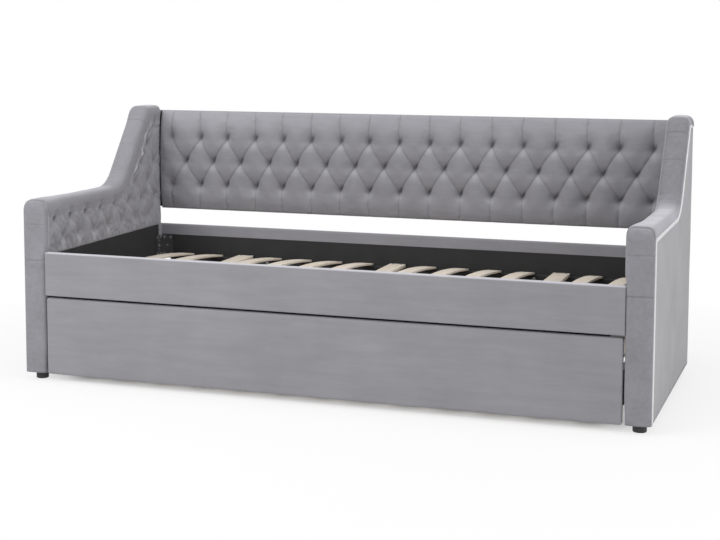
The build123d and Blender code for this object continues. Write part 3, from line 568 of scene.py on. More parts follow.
ys = grid_lines(EDGE_FRONT - 0.009, REAR, ARM_FIRST, ARM_PITCH / 2 / 14)
zs = grid_lines(PAD_BOTTOM, EDGE_HIGH + 0.009, ARM_LOW_ROW, ARM_RISE / 14)
spots = np.array([(y, z) for y in ys for z in zs])
sunk, beyond = arm_depth(spots)
rim = np.minimum(-0.026 - beyond, REAR - 0.006 - spots[:, 0])
rim = np.minimum(rim, spots[:, 1] - PAD_BOTTOM - 0.008)
tied = np.maximum(bump(to_tufts(spots, arm_tufts), 0.008, 4), 1 - smooth_step(rim, 0, 0.012))
sunk -= eased(ys, zs, sunk, tied, 0.035)
sunk = np.minimum(sunk + np.where(beyond > 0, np.minimum(beyond * 2, 0.016), 0), ARM_DEEPEST)
keep = (beyond < 0.0095).reshape(len(ys), len(zs))
faces = sheet_faces(keep, sunk.reshape(len(ys), len(zs)))
low_tufts = [spot for spot in arm_tufts if spot[1] < ARM_LOW_ROW + 0.01]
high_tufts = [spot for spot in arm_tufts if spot not in low_tufts]
# Painted light on the arm pads: painted shade beside each tuft, strongest at the upper rows, and in the
# pleats; a painted highlight below each tuft, strongest at the low row, and along the slope fold. The
# tuft marks fade towards the rear.
light_paint = tuft_shading(spots, high_tufts, 0.4, 0.85, 0.15) + tuft_shading(spots, low_tufts, 0.4, 0.2, 0.5)
light_paint = light_paint * (1 - 0.75 * smooth_step(spots[:, 0], -0.15, 0.08)) * (beyond < -0.02)
light_paint += 0.1 * bump(to_folds(spots, arm_folds), 0.002) - 0.9 * slope_fold(spots, beyond)
for side, hand in HANDS:
    points = np.stack([side * (INNER_X + sunk), spots[:, 0], spots[:, 1]], axis=1)
    pad = new_piece(f"{hand}_arm_pad_velvet", points, faces, inner_velvet, light_paint)
    close_back(pad, 0, side * (INNER_X + ARM_PAD - 0.0005))
    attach(pad, "bed")
    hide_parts(f"{hand}_arm_pad")


# Arm bands: strips of velvet over wadding, pulled over the front and top edge
# of each arm and down onto the pad. Cross seams join their lengths.
BAND_FRONT = 0.024
BAND_RISE = 0.036
BAND_ROUND = 3.2
BAND_SQUARE = 3.5
NOSE_SQUARE = 3.5
AROUND = 33
HEM_ROWS = np.arange(1, 9)
HEM_END = AROUND + len(HEM_ROWS)
HEM_STEP = 0.003
HEM_LOW = 0.452
UNDER_HEM = ((0.0195, -0.010), (0.0195, 0.0005), (0.03, 0.0005), (0.05, 0.0005), (0.07, 0.0005))
LEG_SEAMS = ((0.427, 0.0030), (0.553, 0.0016))
SLOPE_SEAMS = ((0.762, 0.0018), (0.853, 0.0024))
SLOPE_CREASES = (0.612, 0.640)
SEAM_WIDTH = 0.0026
DARK_GREY = (0.246, 0.244, 0.266)
# The bands' velvet is painted darker towards the rear, a painted shade on the slopes, and reads its
# painted light from each band.
band_velvet = velvet(
    "band_velvet", DARK_GREY, (70, 70, 70), sheen=0.75, mottle=0.17, laid=0.86, patch=9, painted_light=True
)


def tube(rings):
    """Vertices and faces of a closed tube through rings of points, capped at both ends."""
    count, around = rings.shape[:2]
    faces = []
    for i in range(count - 1):
        for j in range(around):
            k = (j + 1) % around
            a, b = i * around, (i + 1) * around
            faces.append((a + j, a + k, b + k, b + j))
    faces.append(tuple(range(around))[::-1])
    faces.append(tuple((count - 1) * around + j for j in range(around)))
    return rings.reshape(-1, 3), faces


def run_at(height, on_slope):
    """How far along the edge a height lies, on the front leg or on the slope."""
    leg = (edge[:, 0] > SLOPE_FOOT) if on_slope else (edge[:, 0] < EDGE_FRONT + 0.001)
    return run[leg][np.argmin(np.abs(edge[leg, 1] - height))]


nose = run_at(EDGE_LOW - NOSE, False)
seams = [(run_at(height, False), deep) for height, deep in LEG_SEAMS]
seams += [(run_at(height, True), deep) for height, deep in SLOPE_SEAMS]
creases = [run_at(height, True) for height in SLOPE_CREASES]
stops = [np.arange(0, run[-1], 0.006), [run[-1]], np.arange(nose - 0.012, nose + 0.05, 0.0012)]
stops += [place + np.array([-7, -4.5, -3, -1.5, 0, 1.5, 3, 4.5, 7]) * 0.001 for place, _ in seams]
stops += [np.arange(run[-1] - 0.06, run[-1], 0.003)]
stops += [np.arange(creases[0] - 0.02, creases[1] + 0.04, 0.002)]
stops = np.unique(np.round(np.concatenate(stops), 5))
line = np.stack([np.interp(stops, run, edge[:, k]) for k in (0, 1)], axis=1)
out = np.stack([np.interp(stops, run, outward[:, k]) for k in (0, 1)], axis=1)
out /= np.linalg.norm(out, axis=1)[:, None]
turns = np.linspace(0, pi, AROUND)[None, :]
s = stops[:, None]
crown = np.sin(turns)
turn = np.clip((stops - nose) / NOSE, 0, pi / 2)
lift = (np.cos(turn) / (NOSE + BAND_FRONT)) ** NOSE_SQUARE
lift += (np.sin(turn) / (NOSE + BAND_RISE)) ** NOSE_SQUARE
lift = lift ** (-1 / NOSE_SQUARE) - NOSE
puff = smooth_step(stops, nose, nose + 0.03) * (1 - smooth_step(stops, nose + 0.03, nose + 0.35))
lift += 0.005 * puff
sewn = np.zeros((len(stops), AROUND))
for seam, deep in seams:
    sewn -= deep * crown**0.5 * bump(s - seam, SEAM_WIDTH)
    sewn += 0.4 * deep * crown * bump(s - seam, 0.012)
for crease in creases:
    sewn -= 0.0016 * crown * bump(s - crease - 0.014 * crown, 0.005)
cap = nose + 0.016 - 0.016 * (1 - crown) ** 1.5
sewn -= 0.0045 * crown**0.5 * bump(s - cap, 0.0022)
near_nose = 1 - smooth_step(s, nose + 0.06, nose + 0.2)
near_rear = smooth_step(s, run[-1] - 0.16, run[-1] - 0.05)
half = (OUTER_X - INNER_X) / 2
ear = 0.006 * bump(s - run[-1] + 0.034, 0.018)
bulge = 0.0035 * smooth_step(line[:, 1], 0.04, 0.12) + 0.0045 * smooth_step(line[:, 1], 0.46, 0.50)
bulge *= 1 - smooth_step(stops, nose + 0.01, nose + 0.12)
spread = half + np.where(np.cos(turns) > 0, ear * np.cos(turns), -bulge[:, None] * np.cos(turns))
drop = -HEM_ROWS * (HEM_STEP * smooth_step(line[:, 1:], HEM_LOW, HEM_LOW + 0.023) + 0.0002)
hem = line[:, None, :] + out[:, None, :] * drop[:, :, None]
hem_depth = arm_depth(hem.reshape(-1, 2))[0].reshape(drop.shape)
hem_depth = np.where(line[:, 1:] > HEM_LOW, hem_depth, 0.0008)
hem_depth -= bulge[:, None] * np.clip(1 + drop / 0.02, 0, 1)
hem_depth -= 0.0004 * np.linspace(1, 0, len(HEM_ROWS))
hem_depth[:, -1] += 0.0022
on_slope = smooth_step(line[:, 0], SLOPE_FOOT - 0.04, SLOPE_FOOT + 0.02)[:, None]
on_top = smooth_step(s, nose + 0.02, nose + 0.04) * (1 - on_slope)
# Painted shade in the cross seams and at the nose cap.
seam_shade = 0.35 * bump(s - cap, SEAM_WIDTH)
for seam, deep in seams:
    seam_shade = seam_shade + 90 * deep * bump(s - seam, 0.002)
# Painted light on the band: a painted highlight along the slope fold where the hem runs, and the hem
# painted paler, more so towards the rear and down its rows, so it blends into the pad.
light_paint = np.zeros((len(stops), HEM_END + len(UNDER_HEM)))
light_paint[:, AROUND:HEM_END] = -0.9 * slope_fold(hem.reshape(-1, 2), np.ravel(drop)).reshape(drop.shape)
pale = 0.13 + 0.12 * smooth_step(line[:, :1], 0.02, 0.17)
light_paint[:, AROUND:HEM_END] -= pale * np.linspace(0.55, 1, len(HEM_ROWS))
inner = smooth_step(-np.cos(turns), 0.3, 1.0)
for side, hand in HANDS:
    middle = side * (INNER_X + OUTER_X) / 2
    flat = np.stack(np.broadcast_arrays(s, np.cos(turns) * half), axis=2).reshape(-1, 2)
    wave = ripple(flat, 3 + side, 0.10, 0.0003).reshape(sewn.shape) * crown
    # Painted light on each band: on the right, a painted highlight along the inner edge of the slope and
    # over the top; on the left, weaker painted shade in the seams and painted highlights on the top, the
    # inner turn and the slope.
    if side > 0:
        square = near_nose * (np.cos(turns) < 0)
        shade = seam_shade - 0.5 * on_slope * smooth_step(-np.cos(turns), 0.8, 1.0)
        shade = shade - 0.32 * on_top * crown
    else:
        square = (near_nose + near_rear) * (np.cos(turns) > 0)
        shade = 0.3 * seam_shade - 0.08 * on_top * crown - 0.9 * pale * inner
        shade = shade - 0.16 * on_slope * (1 - inner) * crown
    light_paint[:, :AROUND] = shade
    power = 2 / (BAND_ROUND + BAND_SQUARE * square)
    across = np.sign(np.cos(turns)) * np.abs(np.cos(turns)) ** power
    height = np.maximum(lift[:, None] * crown**power + sewn + wave, 0.0005)
    rings = np.zeros((*light_paint.shape, 3))
    rings[:, :AROUND, 0] = middle + side * across * spread
    rings[:, :AROUND, 1:] = line[:, None, :] + out[:, None, :] * height[:, :, None]
    rings[:, AROUND:HEM_END, 0] = side * (INNER_X + hem_depth)
    rings[:, AROUND:HEM_END, 1:] = hem
    for k, (x, h) in enumerate(UNDER_HEM):
        rings[:, HEM_END + k, 0] = side * (INNER_X + x)
        rings[:, HEM_END + k, 1:] = line + out * h
    points, faces = tube(rings)
    band = new_piece(f"{hand}_arm_band_velvet", points, faces, band_velvet, light_paint)
    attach(band, "bed")
    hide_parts(f"{hand}_arm_band")


# Piping: two thin cords in a folded velvet strip, sewn into the seam between the
# band and the outer panel of each arm, from the foot to the top of the back.
WELT_RADIUS = 0.0032
# The piping's velvet is painted nearly white: a painted highlight for the sheen on the cords.
piping_velvet = velvet("piping_velvet", (0.76, 0.757, 0.775), (300, 300, 300), 0.6)


def geometry_tree(name, sizes):
    """A geometry node tree with named inputs, and wires from them."""
    tree = bpy.data.node_groups.new(name, "GeometryNodeTree")
    tree.interface.new_socket("Geometry", in_out="INPUT", socket_type="NodeSocketGeometry")
    for key, value in sizes.items():
        kind = "NodeSocketInt" if isinstance(value, int) else "NodeSocketFloat"
        tree.interface.new_socket(key, in_out="INPUT", socket_type=kind).default_value = value
    tree.interface.new_socket("Geometry", in_out="OUTPUT", socket_type="NodeSocketGeometry")
    start = Wire(tree)
    return start, start.node("NodeGroupInput")


def finish_tree(start, shape, finish):
    """Ends a tree: real geometry with its finish."""
    real = start.node("GeometryNodeRealizeInstances", {}, {0: shape})
    dressed = start.node("GeometryNodeSetMaterial", {}, {"Geometry": real, "Material": finish})
    start.node("NodeGroupOutput", {}, {0: dressed})


def grown(name, data, tree, sizes, soften=0):
    """Runs a geometry tree with the given sizes and keeps the result as a plain mesh piece."""
    seed = placed(name + "_seed", data)
    growth = seed.modifiers.new("growth", "NODES")
    growth.node_group = tree
    for item in tree.interface.items_tree:
        if item.in_out == "INPUT" and item.name in sizes:
            growth[item.identifier] = sizes[item.name]
    if soften:
        edges = seed.modifiers.new("edges", "BEVEL")
        edges.width = soften
        edges.segments = 2
    mesh = settled(seed)
    bpy.data.objects.remove(seed)
    mesh.name = name
    mesh.shade_smooth()
    return placed(name, mesh)


welt_sizes = {"Radius": WELT_RADIUS, "Spacing": 0.005}
start, sizes = geometry_tree("piping_tree", welt_sizes)
stepped = {"Curve": sizes, "Length": sizes.other("Spacing")}
cord = start.node("GeometryNodeResampleCurve", {"mode": "LENGTH"}, stepped)
round_cord = {"Resolution": 12, "Radius": sizes.other("Radius")}
ring = start.node("GeometryNodeCurvePrimitiveCircle", {}, round_cord)
swept = {"Curve": cord, "Profile Curve": ring, "Fill Caps": True}
cord = start.node("GeometryNodeCurveToMesh", {}, swept)
finish_tree(start, cord, piping_velvet)
welt = bpy.data.curves.new("piping_line", "CURVE")
welt.dimensions = "3D"
for side in (-1, 1):
    for shift in (-WELT_RADIUS, WELT_RADIUS):
        spline = welt.splines.new("POLY")
        spline.points.add(len(edge) - 1)
        for knot, (y, z) in zip(spline.points, edge + shift * outward):
            knot.co = (side * OUTER_X, y, z, 1)
piping = grown("arm_piping_cord", welt, start.tree, welt_sizes)
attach(piping, "bed")
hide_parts("arm_piping")


# Outer panels of the arms: velvet stretched over the timber and stapled under
# the piping and at the rear, so they are flat with a slight swell.
COVER = 0.004
# The outer panels are painted a paler grey than the other velvet: painted light on the lit outer side.
panel_velvet = velvet("panel_velvet", (0.334, 0.333, 0.344), (70, 70, 4), mottle=0.16)
top = edge[edge[:, 1] > EDGE_LOW - NOSE]
top = top[np.concatenate([[True], np.diff(top[:, 0]) > 1e-5])][::2]
top = np.concatenate([top, edge[-1:]])
rows = np.linspace(0, 1, 46)
for side, hand in HANDS:
    outer = np.array([[(0, y, FOOT_TOP + (z - FOOT_TOP) * v) for v in rows] for y, z in top])
    share = np.clip((outer[:, :, 1] - EDGE_FRONT) / (REAR - EDGE_FRONT), 0, 1)
    swell = 0.0014 * (4 * share * (1 - share)) ** 0.5 * np.sin(pi * rows) ** 0.5
    uneven = ripple(outer[:, :, 1:].reshape(-1, 2), 51 + side, 0.25, 0.0006)
    swell += uneven.reshape(swell.shape) * np.sin(pi * rows)
    outer[:, :, 0] = OUTER_X - 0.0003 + swell
    inner = outer.copy()
    inner[:, :, 0] = OUTER_X - COVER
    count, high = outer.shape[:2]
    points = np.concatenate([outer.reshape(-1, 3), inner.reshape(-1, 3)])
    points[:, 0] *= side
    faces = []
    back = count * high
    for i in range(count - 1):
        for j in range(high - 1):
            a, b = i * high + j, (i + 1) * high + j
            faces.append((a, b, b + 1, a + 1))
            faces.append((back + a, back + a + 1, back + b + 1, back + b))
        for j in (0, high - 1):
            a, b = i * high + j, (i + 1) * high + j
            faces.append((a, b, back + b, back + a))
    for i in (0, count - 1):
        for j in range(high - 1):
            a = i * high + j
            faces.append((a, a + 1, back + a + 1, back + a))
    panel = new_piece(f"{hand}_arm_outer_velvet", points, faces, panel_velvet)
    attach(panel, "bed")
    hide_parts(f"{hand}_arm_outer_cover")


# End boards under the arm pads, and the black cloth glued over them, which
# is also glued on the inside of the back rail.
def black_cloth(name, tone):
    """Thin black lining: a fine weave with lint."""
    finish, cloth, place = new_finish(name)
    weave = noise(cloth, place, 700, 2)
    lint = noise(cloth, place, 18, 4)
    colour = blend(cloth, 0.6 * lint + 0.4 * weave, *tones(tone, 0.75, 1.3))
    relief = cloth.node("ShaderNodeBump", {}, {"Height": weave, "Strength": 0.3, "Distance": 0.0004})
    rough = 0.9 + 0.08 * lint
    surface_of(
        cloth, {"Base Color": colour, "Roughness": rough, "Normal": relief, "Specular IOR Level": 0.2}
    )
    return finish


lining = black_cloth("lining_cloth", (0.034, 0.034, 0.035))
dress(["end_linings", "back_rail_lining", "left_end_board", "right_end_board"], lining)


# Flaps: the rear ends of the arm pads' velvet, turned down over the lining and
# stapled there, so their edges pucker.
FLAP_FRONT = REAR - 0.030
FLAP_LOW = 0.335
STAPLE_STEP = 0.017
PUCKER = 0.0012
us = np.linspace(FLAP_FRONT, REAR - 0.001, 13)
vs = np.linspace(FLAP_LOW, PAD_BOTTOM + 0.004, 49)
spots = np.array([(u, v) for u in us for v in vs])
pucker = np.sin(2 * pi * spots[:, 1] / STAPLE_STEP) * bump(spots[:, 0] - FLAP_FRONT, 0.008)
stand = 0.0022 + PUCKER * pucker + ripple(spots, 91, 0.03, 0.0008)
staples = [(FLAP_FRONT + 0.006, z) for z in np.arange(FLAP_LOW + 0.008, PAD_BOTTOM, STAPLE_STEP)]
# Painted shade at the staples and a painted highlight on the crests of the pucker.
light_paint = 0.7 * bump(to_tufts(spots, staples), 0.0035) - 0.4 * pucker
faces = sheet_faces(np.ones((len(us), len(vs)), bool), stand.reshape(len(us), len(vs)))
for side, hand in HANDS:
    points = np.stack([side * (INNER_X - stand), spots[:, 0], spots[:, 1]], axis=1)
    flap = new_piece(f"{hand}_arm_flap", points, faces, inner_velvet, light_paint)
    close_back(flap, 0, side * (INNER_X - 0.0004))
    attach(flap, "bed")


# Feet: four turned plastic cups, black, screwed under the arm timbers.
# The castor wheels of the trundle are moulded from the same plastic.
def plastic(name, tone):
    """Moulded black plastic: a fine grain and a little dust."""
    finish, skin, place = new_finish(name)
    grain = noise(skin, place, 1200, 1)
    dust = noise(skin, place, 40, 4)
    colour = blend(skin, dust, *tones(tone, 0.8, 1.3))
    relief = skin.node("ShaderNodeBump", {}, {"Height": grain, "Strength": 0.2, "Distance": 0.0003})
    surface_of(skin, {"Base Color": colour, "Roughness": 0.4 + 0.2 * dust, "Normal": relief})
    return finish


black_plastic = plastic("black_plastic", (0.022, 0.022, 0.023))
wheels = ["left_front_wheel", "left_rear_wheel", "right_front_wheel", "right_rear_wheel"]
dress(["feet", *wheels], black_plastic)


# Back frame and its cover: a timber frame wrapped in velvet, with two holes at
# each end over the heads of the bolts that hold it to the arms.
BACK_X = 1.003
BACK_FACE = REAR - 0.010
BACK_SEAT = BACK_FACE + 0.028
BACK_LOW = 0.512
BACK_HIGH = 0.903
COVER_X = 1.057
BACK_REAR = 0.5
BOLT_X = 1.043
BOLT_ZS = (0.582, 0.833)
BOLT_HOLE = 0.009
smooth_velvet = velvet("smooth_velvet", GREY, (9, 90, 70), painted_light=True)


def slab(name, low, high, rounding, crown, seed, finish, lit_top=0):
    """A board wrapped in wadding and velvet: soft edges, a painted highlight on top, faces a little
    swollen.
    """
    low, high = np.array(low), np.array(high)
    size = high - low
    near_end = [0, 0.0008, 0.002, 0.004, 0.007, 0.012]
    span = np.concatenate([near_end, np.linspace(0.02, size[0] - 0.02, 120)])
    span = np.unique(np.round(np.concatenate([span, size[0] - span]), 5))
    flat_y = np.linspace(rounding, size[1] - rounding, 4)
    flat_z = np.linspace(rounding, size[2] - rounding, 26)
    far, tall = size[1] - rounding, size[2] - rounding
    sides = (
        ([(y, 0, 0, -1) for y in flat_y], far, rounding),
        ([(size[1], z, 1, 0) for z in flat_z], far, tall),
        ([(y, size[2], 0, 1) for y in flat_y[::-1]], rounding, tall),
        ([(0, z, -1, 0) for z in flat_z[::-1]], rounding, rounding),
    )
    ring = []
    for quarter, (flat, y, z) in enumerate(sides, -1):
        corner = np.linspace(0, pi / 2, 6)[1:-1] + quarter * pi / 2
        ring += flat + [(y + rounding * cos(a), z + rounding * sin(a), cos(a), sin(a)) for a in corner]
    ring = np.array(ring)
    rings = np.zeros((len(span), len(ring), 3))
    ends = np.minimum(span, size[0] - span)
    inset = rolled(ends, rounding, rounding * 0.999)
    rings[:, :, 0] = span[:, None]
    rings[:, :, 1:] = ring[None, :, :2] - inset[:, None, None] * ring[None, :, 2:]
    puff = crown * np.sin(pi * np.clip(ring[:, 1] / size[2], 0, 1)) ** 0.5 * np.abs(ring[:, 2])
    puff = puff[None, :] * smooth_step(ends, 0, 0.05)[:, None]
    rings[:, :, 1] += puff * np.sign(ring[None, :, 2])
    uneven = ripple(rings[:, :, [0, 2]].reshape(-1, 2), seed, 0.35, 0.0008).reshape(puff.shape)
    rings[:, :, 1] += uneven * puff / max(crown, 1e-6)
    points, faces = tube(rings + low)
    # Painted highlight: faces that look upwards are painted paler, by the factor given.
    light_paint = np.broadcast_to(-lit_top * np.clip(ring[:, 3], 0, 1), rings.shape[:2])
    return new_piece(name, points, faces, finish, light_paint)


def drilled(piece, places, rear, radius):
    """Round holes in the rear of a piece, over the bolts."""
    drills = bpy.data.meshes.new("drills")
    shape = bmesh.new()
    for x, z in places:
        size = {"radius1": radius, "radius2": radius, "depth": 0.012}
        turn = bmesh.ops.create_cone(shape, cap_ends=True, segments=24, **size)
        for v in turn["verts"]:
            v.co = (x + v.co[0], rear + v.co[2], z + v.co[1])
    bmesh.ops.recalc_face_normals(shape, faces=shape.faces)
    shape.to_mesh(drills)
    shape.free()
    bit = placed("drills", drills)
    cut = piece.modifiers.new("holes", "BOOLEAN")
    cut.operation = "DIFFERENCE"
    cut.object = bit
    mesh = settled(piece)
    piece.modifiers.clear()
    piece.data = mesh
    bpy.data.objects.remove(bit)


dress(["back_frame"], lining)
back_cover = slab(
    "back_cover_velvet",
    (-COVER_X, BACK_SEAT, BACK_LOW),
    (COVER_X, BACK_REAR, BACK_HIGH),
    rounding=0.006,
    crown=0.001,
    seed=61,
    finish=smooth_velvet,
)
drilled(back_cover, [(x, z) for x in (-BOLT_X, BOLT_X) for z in BOLT_ZS], BACK_REAR, BOLT_HOLE)
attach(back_cover, "bed")
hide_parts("back_cover")


# Back pad: tufting in three rows over foam on the back frame, with straight
# pleats from the outer rows to the top and bottom edges.
PITCH = 0.119
RISE = 0.094
PAD_LOW = BACK_LOW - 0.004
PAD_X = BACK_X + 0.0015
BACK_DEEPEST = 0.0255
PLEAT_WIDTH = 0.0018
BACK_MIDDLE = (BACK_LOW + BACK_HIGH) / 2 - 0.006
back_velvet = velvet("back_velvet", GREY, (12, 90, 90), painted_light=True)
back_tufts = []
for row, count in ((-1, 17), (0, 16), (1, 17)):
    for column in range(count):
        back_tufts.append(((column - (count - 1) / 2) * PITCH, BACK_MIDDLE + row * RISE))
back_folds = diamond_folds(back_tufts, PITCH, RISE)
for x, z in back_tufts:
    if z > BACK_MIDDLE + 0.01:
        back_folds.append(((x, z), (x, BACK_HIGH + 0.01)))
    elif z < BACK_MIDDLE - 0.01:
        back_folds.append(((x, z), (x, PAD_LOW - 0.01)))
xs = grid_lines(-PAD_X, PAD_X, 0, PITCH / 2 / 16)
zs = grid_lines(PAD_LOW, BACK_HIGH, BACK_MIDDLE, RISE / 16)
spots = np.array([(x, z) for x in xs for z in zs])
depth = pulled_in(spots, back_tufts, back_folds, 0.0022, 0.0165)
# Painted light on the back pad: painted shade beside each tuft but the leftmost ones and in the pleats,
# more in those that rise to the right, and a painted highlight below each of those tufts.
end_tufts = [spot for spot in back_tufts if spot[0] < -0.9]
rising = [(a, b) for a, b in back_folds if b[0] > a[0] and a not in end_tufts]
light_paint = tuft_shading(spots, [spot for spot in back_tufts if spot not in end_tufts], 0.5, 0.75, 0.22)
for folds in (back_folds, rising):
    light_paint += 0.2 * bump(to_folds(spots, folds), PLEAT_WIDTH)
rim = np.minimum(spots[:, 1] - PAD_LOW, BACK_HIGH - spots[:, 1])
rim = np.minimum(PAD_X - np.abs(spots[:, 0]), rim)
depth += rolled(rim, 0.010, 0.0099)
drift = ripple(spots, 41, 0.2, 0.0028) * np.clip(rim / 0.03, 0, 1)
depth += ripple(spots, 42, 0.1, 0.0007) * np.clip(rim / 0.02, 0, 1)
away = (spots[:, 1] - BACK_MIDDLE) / (BACK_MIDDLE - PAD_LOW)
depth += np.where(away > 0, 0.020, 0.013) * np.abs(away) ** 3 - 0.006
# Painted highlight on the top strip, stronger towards the left, and painted shade on the bottom strip.
light_paint -= (0.13 - 0.08 * spots[:, 0]) * smooth_step(away, 0.5, 0.8) - 0.07 * smooth_step(-away, 0.5, 0.8)
tied = np.maximum(bump(to_tufts(spots, back_tufts), 0.010, 4), 1 - smooth_step(rim, 0.004, 0.014))
tied = np.maximum(tied, 0.5 * bump(to_folds(spots, back_folds), 0.003))
depth -= eased(xs, zs, depth, tied, 0.008)
points = np.stack([spots[:, 0] + drift, BACK_FACE + np.minimum(depth, BACK_DEEPEST), spots[:, 1]], axis=1)
faces = sheet_faces(np.ones((len(xs), len(zs)), bool), depth.reshape(len(xs), len(zs)))
back_pad = new_piece("back_pad_velvet", points, faces, back_velvet, light_paint)
close_back(back_pad, 1, BACK_SEAT - 0.0005)
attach(back_pad, "bed")
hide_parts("back_pad")


# Covered buttons of the arms and the back: small domed moulds wrapped in the same
# velvet, tied down through the pad to the bottom of each tuft. Their velvet is painted
# darker than the pads': painted shade at the bottom of each pit.
ARM_BUTTON = 0.0225
BACK_BUTTON = 0.027
button_velvet = velvet("button_velvet", (0.15, 0.148, 0.158), (300, 300, 300), 0.1)
button_sizes = {"Radius": 0.007}
start, sizes = geometry_tree("button_tree", button_sizes)
dome = {"Segments": 14, "Rings": 8, "Radius": sizes.other("Radius")}
dome = start.node("GeometryNodeMeshUVSphere", {}, dome)
spread = start.node("GeometryNodeInstanceOnPoints", {}, {"Points": sizes, "Instance": dome})
finish_tree(start, spread, button_velvet)
seats = [(side * (INNER_X + ARM_BUTTON), y, z) for side in (-1, 1) for y, z in arm_tufts]
for name, node, places in (
    ("arm_button_domes", "arm_buttons", seats),
    ("back_button_domes", "back_buttons", [(x, BACK_FACE + BACK_BUTTON, z) for x, z in back_tufts]),
):
    pins = bpy.data.meshes.new(name + "_places")
    pins.from_pydata(places, [], [])
    buttons = grown(name, pins, start.tree, button_sizes)
    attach(buttons, "bed")
    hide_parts(node)


# Rails between the arms: boards wrapped in thin wadding and velvet. The front
# one stands flush with the arms, the back one is bolted behind them.
RAIL_X = 1.003
RAIL_LOW = 0.305
FRONT_RAIL_HIGH = 0.457
FRONT_RAIL_REAR = -0.472
BACK_RAIL_HIGH = 0.443
BACK_RAIL_REAR = 0.476
RAIL_GREY = (0.268, 0.266, 0.286)
rail_velvet = velvet("rail_velvet", RAIL_GREY, (5, 90, 40), mottle=0.12, patch=4, painted_light=True)
# The front rail's top is painted paler: a painted highlight.
front_rail = slab(
    "front_rail_velvet",
    (-RAIL_X, FRONT, RAIL_LOW),
    (RAIL_X, FRONT_RAIL_REAR, FRONT_RAIL_HIGH),
    rounding=0.004,
    crown=0.0016,
    seed=71,
    finish=rail_velvet,
    lit_top=0.9,
)
back_rail = slab(
    "back_rail_velvet",
    (-COVER_X, REAR, RAIL_LOW),
    (COVER_X, BACK_RAIL_REAR, BACK_RAIL_HIGH),
    rounding=0.004,
    crown=0.0,
    seed=72,
    finish=smooth_velvet,
)
bolt_z = (RAIL_LOW + BACK_RAIL_HIGH) / 2
drilled(back_rail, [(x, bolt_z) for x in (-BOLT_X, BOLT_X)], BACK_RAIL_REAR, BOLT_HOLE)
for rail, node in ((front_rail, "front_rail_cover"), (back_rail, "back_rail_cover")):
    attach(rail, "bed")
    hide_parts(node)


# Ledgers under the slats, black like the lining, and the boards inside the
# rails and the trundle's front, of planed softwood left bare.
def timber(name, pale, dark, along):
    """Planed wood: fine grain drawn out along the piece, and broad warmer bands."""
    finish, wood, place = new_finish(name)
    drawn = wood.node("ShaderNodeMapping", {}, {"Vector": place, "Scale": along})
    grain = noise(wood, drawn, 1, 5, 0.65)
    bands = noise(wood, drawn, 0.15, 2)
    share = ramp(wood, 0.6 * grain + 0.4 * bands, 0.35, 0.65)
    colour = blend(wood, share, (*pale, 1), (*dark, 1))
    relief = wood.node("ShaderNodeBump", {}, {"Height": grain, "Strength": 0.15, "Distance": 0.0005})
    surface_of(wood, {"Base Color": colour, "Roughness": 0.5 + 0.15 * grain, "Normal": relief})
    return finish


softwood = timber("softwood", (0.62, 0.50, 0.36), (0.50, 0.38, 0.25), (5, 160, 160))
dress(["front_ledger", "back_ledger"], lining)
dress(["front_rail_board", "back_rail_board", "trundle_front_board"], softwood)


# Steel fittings: the perforated corner brackets, and all the screws and bolts,
# zinc plated and left bright.
def steel(name, tone):
    """Zinc-plated steel: cool grey with a faint spangle and haze."""
    finish, metal, place = new_finish(name)
    spangle = metal.node("ShaderNodeTexVoronoi", {}, {"Vector": place, "Scale": 260})
    haze = noise(metal, place, 60, 3)
    colour = blend(metal, 0.5 * haze + 0.5 * spangle, *tones(tone, 0.8, 1.15))
    surface_of(metal, {"Base Color": colour, "Roughness": 0.3 + 0.25 * haze, "Metallic": 1.0})
    return finish


zinc = steel("zinc_steel", (0.36, 0.36, 0.37))
dress(["bracket_screws", "back_bolts", "ledger_bolts", "slat_screws"], zinc)
dress(["rail_brackets"], steel("dull_steel", (0.2, 0.2, 0.205)))


# Slats: twelve sprung ones of bent birch veneer that rest on the ledgers, and
# three flat ones, thicker, screwed to the ledgers to tie the rails together.
SLAT_FRONT = -0.463
SLAT_REAR = 0.4395
SLAT_BASE = 0.322
birch = timber("birch", (0.80, 0.73, 0.64), (0.68, 0.59, 0.48), (140, 6, 140))
slat_sizes = {"Count": 15, "Pitch": 0.126, "Width": 0.053, "Thickness": 0.008, "Arch": 0.032}
slat_sizes |= {"Length": SLAT_REAR - SLAT_FRONT, "Flat": 0.0}
start, sizes = geometry_tree("slat_tree", slat_sizes)
lath = {"Size X": sizes.other("Width"), "Size Y": sizes.other("Length")}
lath = start.node("GeometryNodeMeshGrid", {}, lath | {"Vertices X": 4, "Vertices Y": 41})
spot = start.node("ShaderNodeSeparateXYZ", {}, {0: start.node("GeometryNodeInputPosition")}, out="Y")
ratio = spot * 2 / sizes.other("Length")
rise = sizes.other("Arch") * (1 - ratio * ratio)
bend = start.node("ShaderNodeCombineXYZ", {}, {"Z": rise})
lath = start.node("GeometryNodeSetPosition", {}, {"Geometry": lath, "Offset": bend})
top = start.node(
    "GeometryNodeExtrudeMesh",
    {},
    {"Mesh": lath, "Offset": (0, 0, 1), "Offset Scale": sizes.other("Thickness"), "Individual": False},
)
under = start.node("GeometryNodeFlipFaces", {}, {"Mesh": lath})
both = start.node("GeometryNodeJoinGeometry")
for half_lath in (top, under):
    start.tree.links.new(half_lath.socket, both.socket.node.inputs[0])
lath = start.node("GeometryNodeMergeByDistance", {}, {"Geometry": both, "Distance": 0.0001})
step = start.node("ShaderNodeCombineXYZ", {}, {"X": sizes.other("Pitch")})
first = sizes.other("Pitch") * -0.5 * (sizes.other("Count") - 1)
first = start.node("ShaderNodeCombineXYZ", {}, {"X": first})
row = {"Count": sizes.other("Count"), "Start Location": first, "Offset": step}
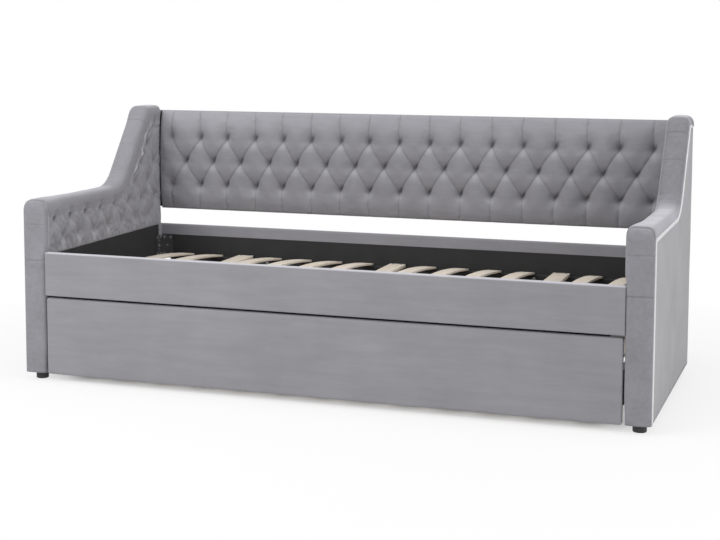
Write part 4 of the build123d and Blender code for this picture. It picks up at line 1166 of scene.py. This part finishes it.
row = start.node("GeometryNodeMeshLine", {}, row)
fixed = start.maths("COMPARE", start.node("GeometryNodeInputIndex") % 5, 2)
wanted = start.maths("COMPARE", fixed, sizes.other("Flat"))
row = start.node("GeometryNodeSeparateGeometry", {}, {"Geometry": row, "Selection": wanted})
laid = start.node("GeometryNodeInstanceOnPoints", {}, {"Points": row, "Instance": lath})
finish_tree(start, laid, birch)
flat_sizes = slat_sizes | {"Width": 0.062, "Thickness": 0.012, "Arch": 0.0, "Flat": 1.0}
for name, shape, flat, numbers in (
    ("sprung_slats_birch", slat_sizes, False, (1, 2, 4, 5, 6, 7, 9, 10, 11, 12, 14, 15)),
    ("flat_slats_birch", flat_sizes, True, (3, 8, 13)),
):
    slats = grown(name, bpy.data.meshes.new(name + "_start"), start.tree, shape, soften=0.0015)
    slats.data.transform(Matrix.Translation((0, (SLAT_FRONT + SLAT_REAR) / 2, SLAT_BASE)))
    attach(slats, "bed")
    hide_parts(*[f"{'flat' if flat else 'sprung'}_slat_{n:02d}" for n in numbers])


# Trundle front: a wide board wrapped in the same velvet as the rail above it,
# which hides the pull-out bed when it is pushed in.
TRUNDLE_X = 0.998
TRUNDLE_LOW = 0.027
TRUNDLE_HIGH = 0.297
TRUNDLE_REAR = -0.4723
trundle_front = slab(
    "trundle_front_velvet",
    (-TRUNDLE_X, FRONT, TRUNDLE_LOW),
    (TRUNDLE_X, TRUNDLE_REAR, TRUNDLE_HIGH),
    rounding=0.006,
    crown=0.002,
    seed=81,
    finish=rail_velvet,
)
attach(trundle_front, "trundle")
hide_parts("trundle_front_cover")


# Trundle box: coated sides and back, ledgers and flat slats, on four castors
# with pressed steel forks. The wheels turn on pins as the box rolls out.
grey_board = timber("grey_board", (0.30, 0.30, 0.31), (0.25, 0.25, 0.26), (5, 120, 120))
dress(["left_trundle_side", "right_trundle_side", "trundle_back", "castor_blocks"], grey_board)
dress(["trundle_ledgers"], softwood)
dress(["trundle_slats"], birch)
dress(["castor_forks", "castor_axles"], zinc)

low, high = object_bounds()
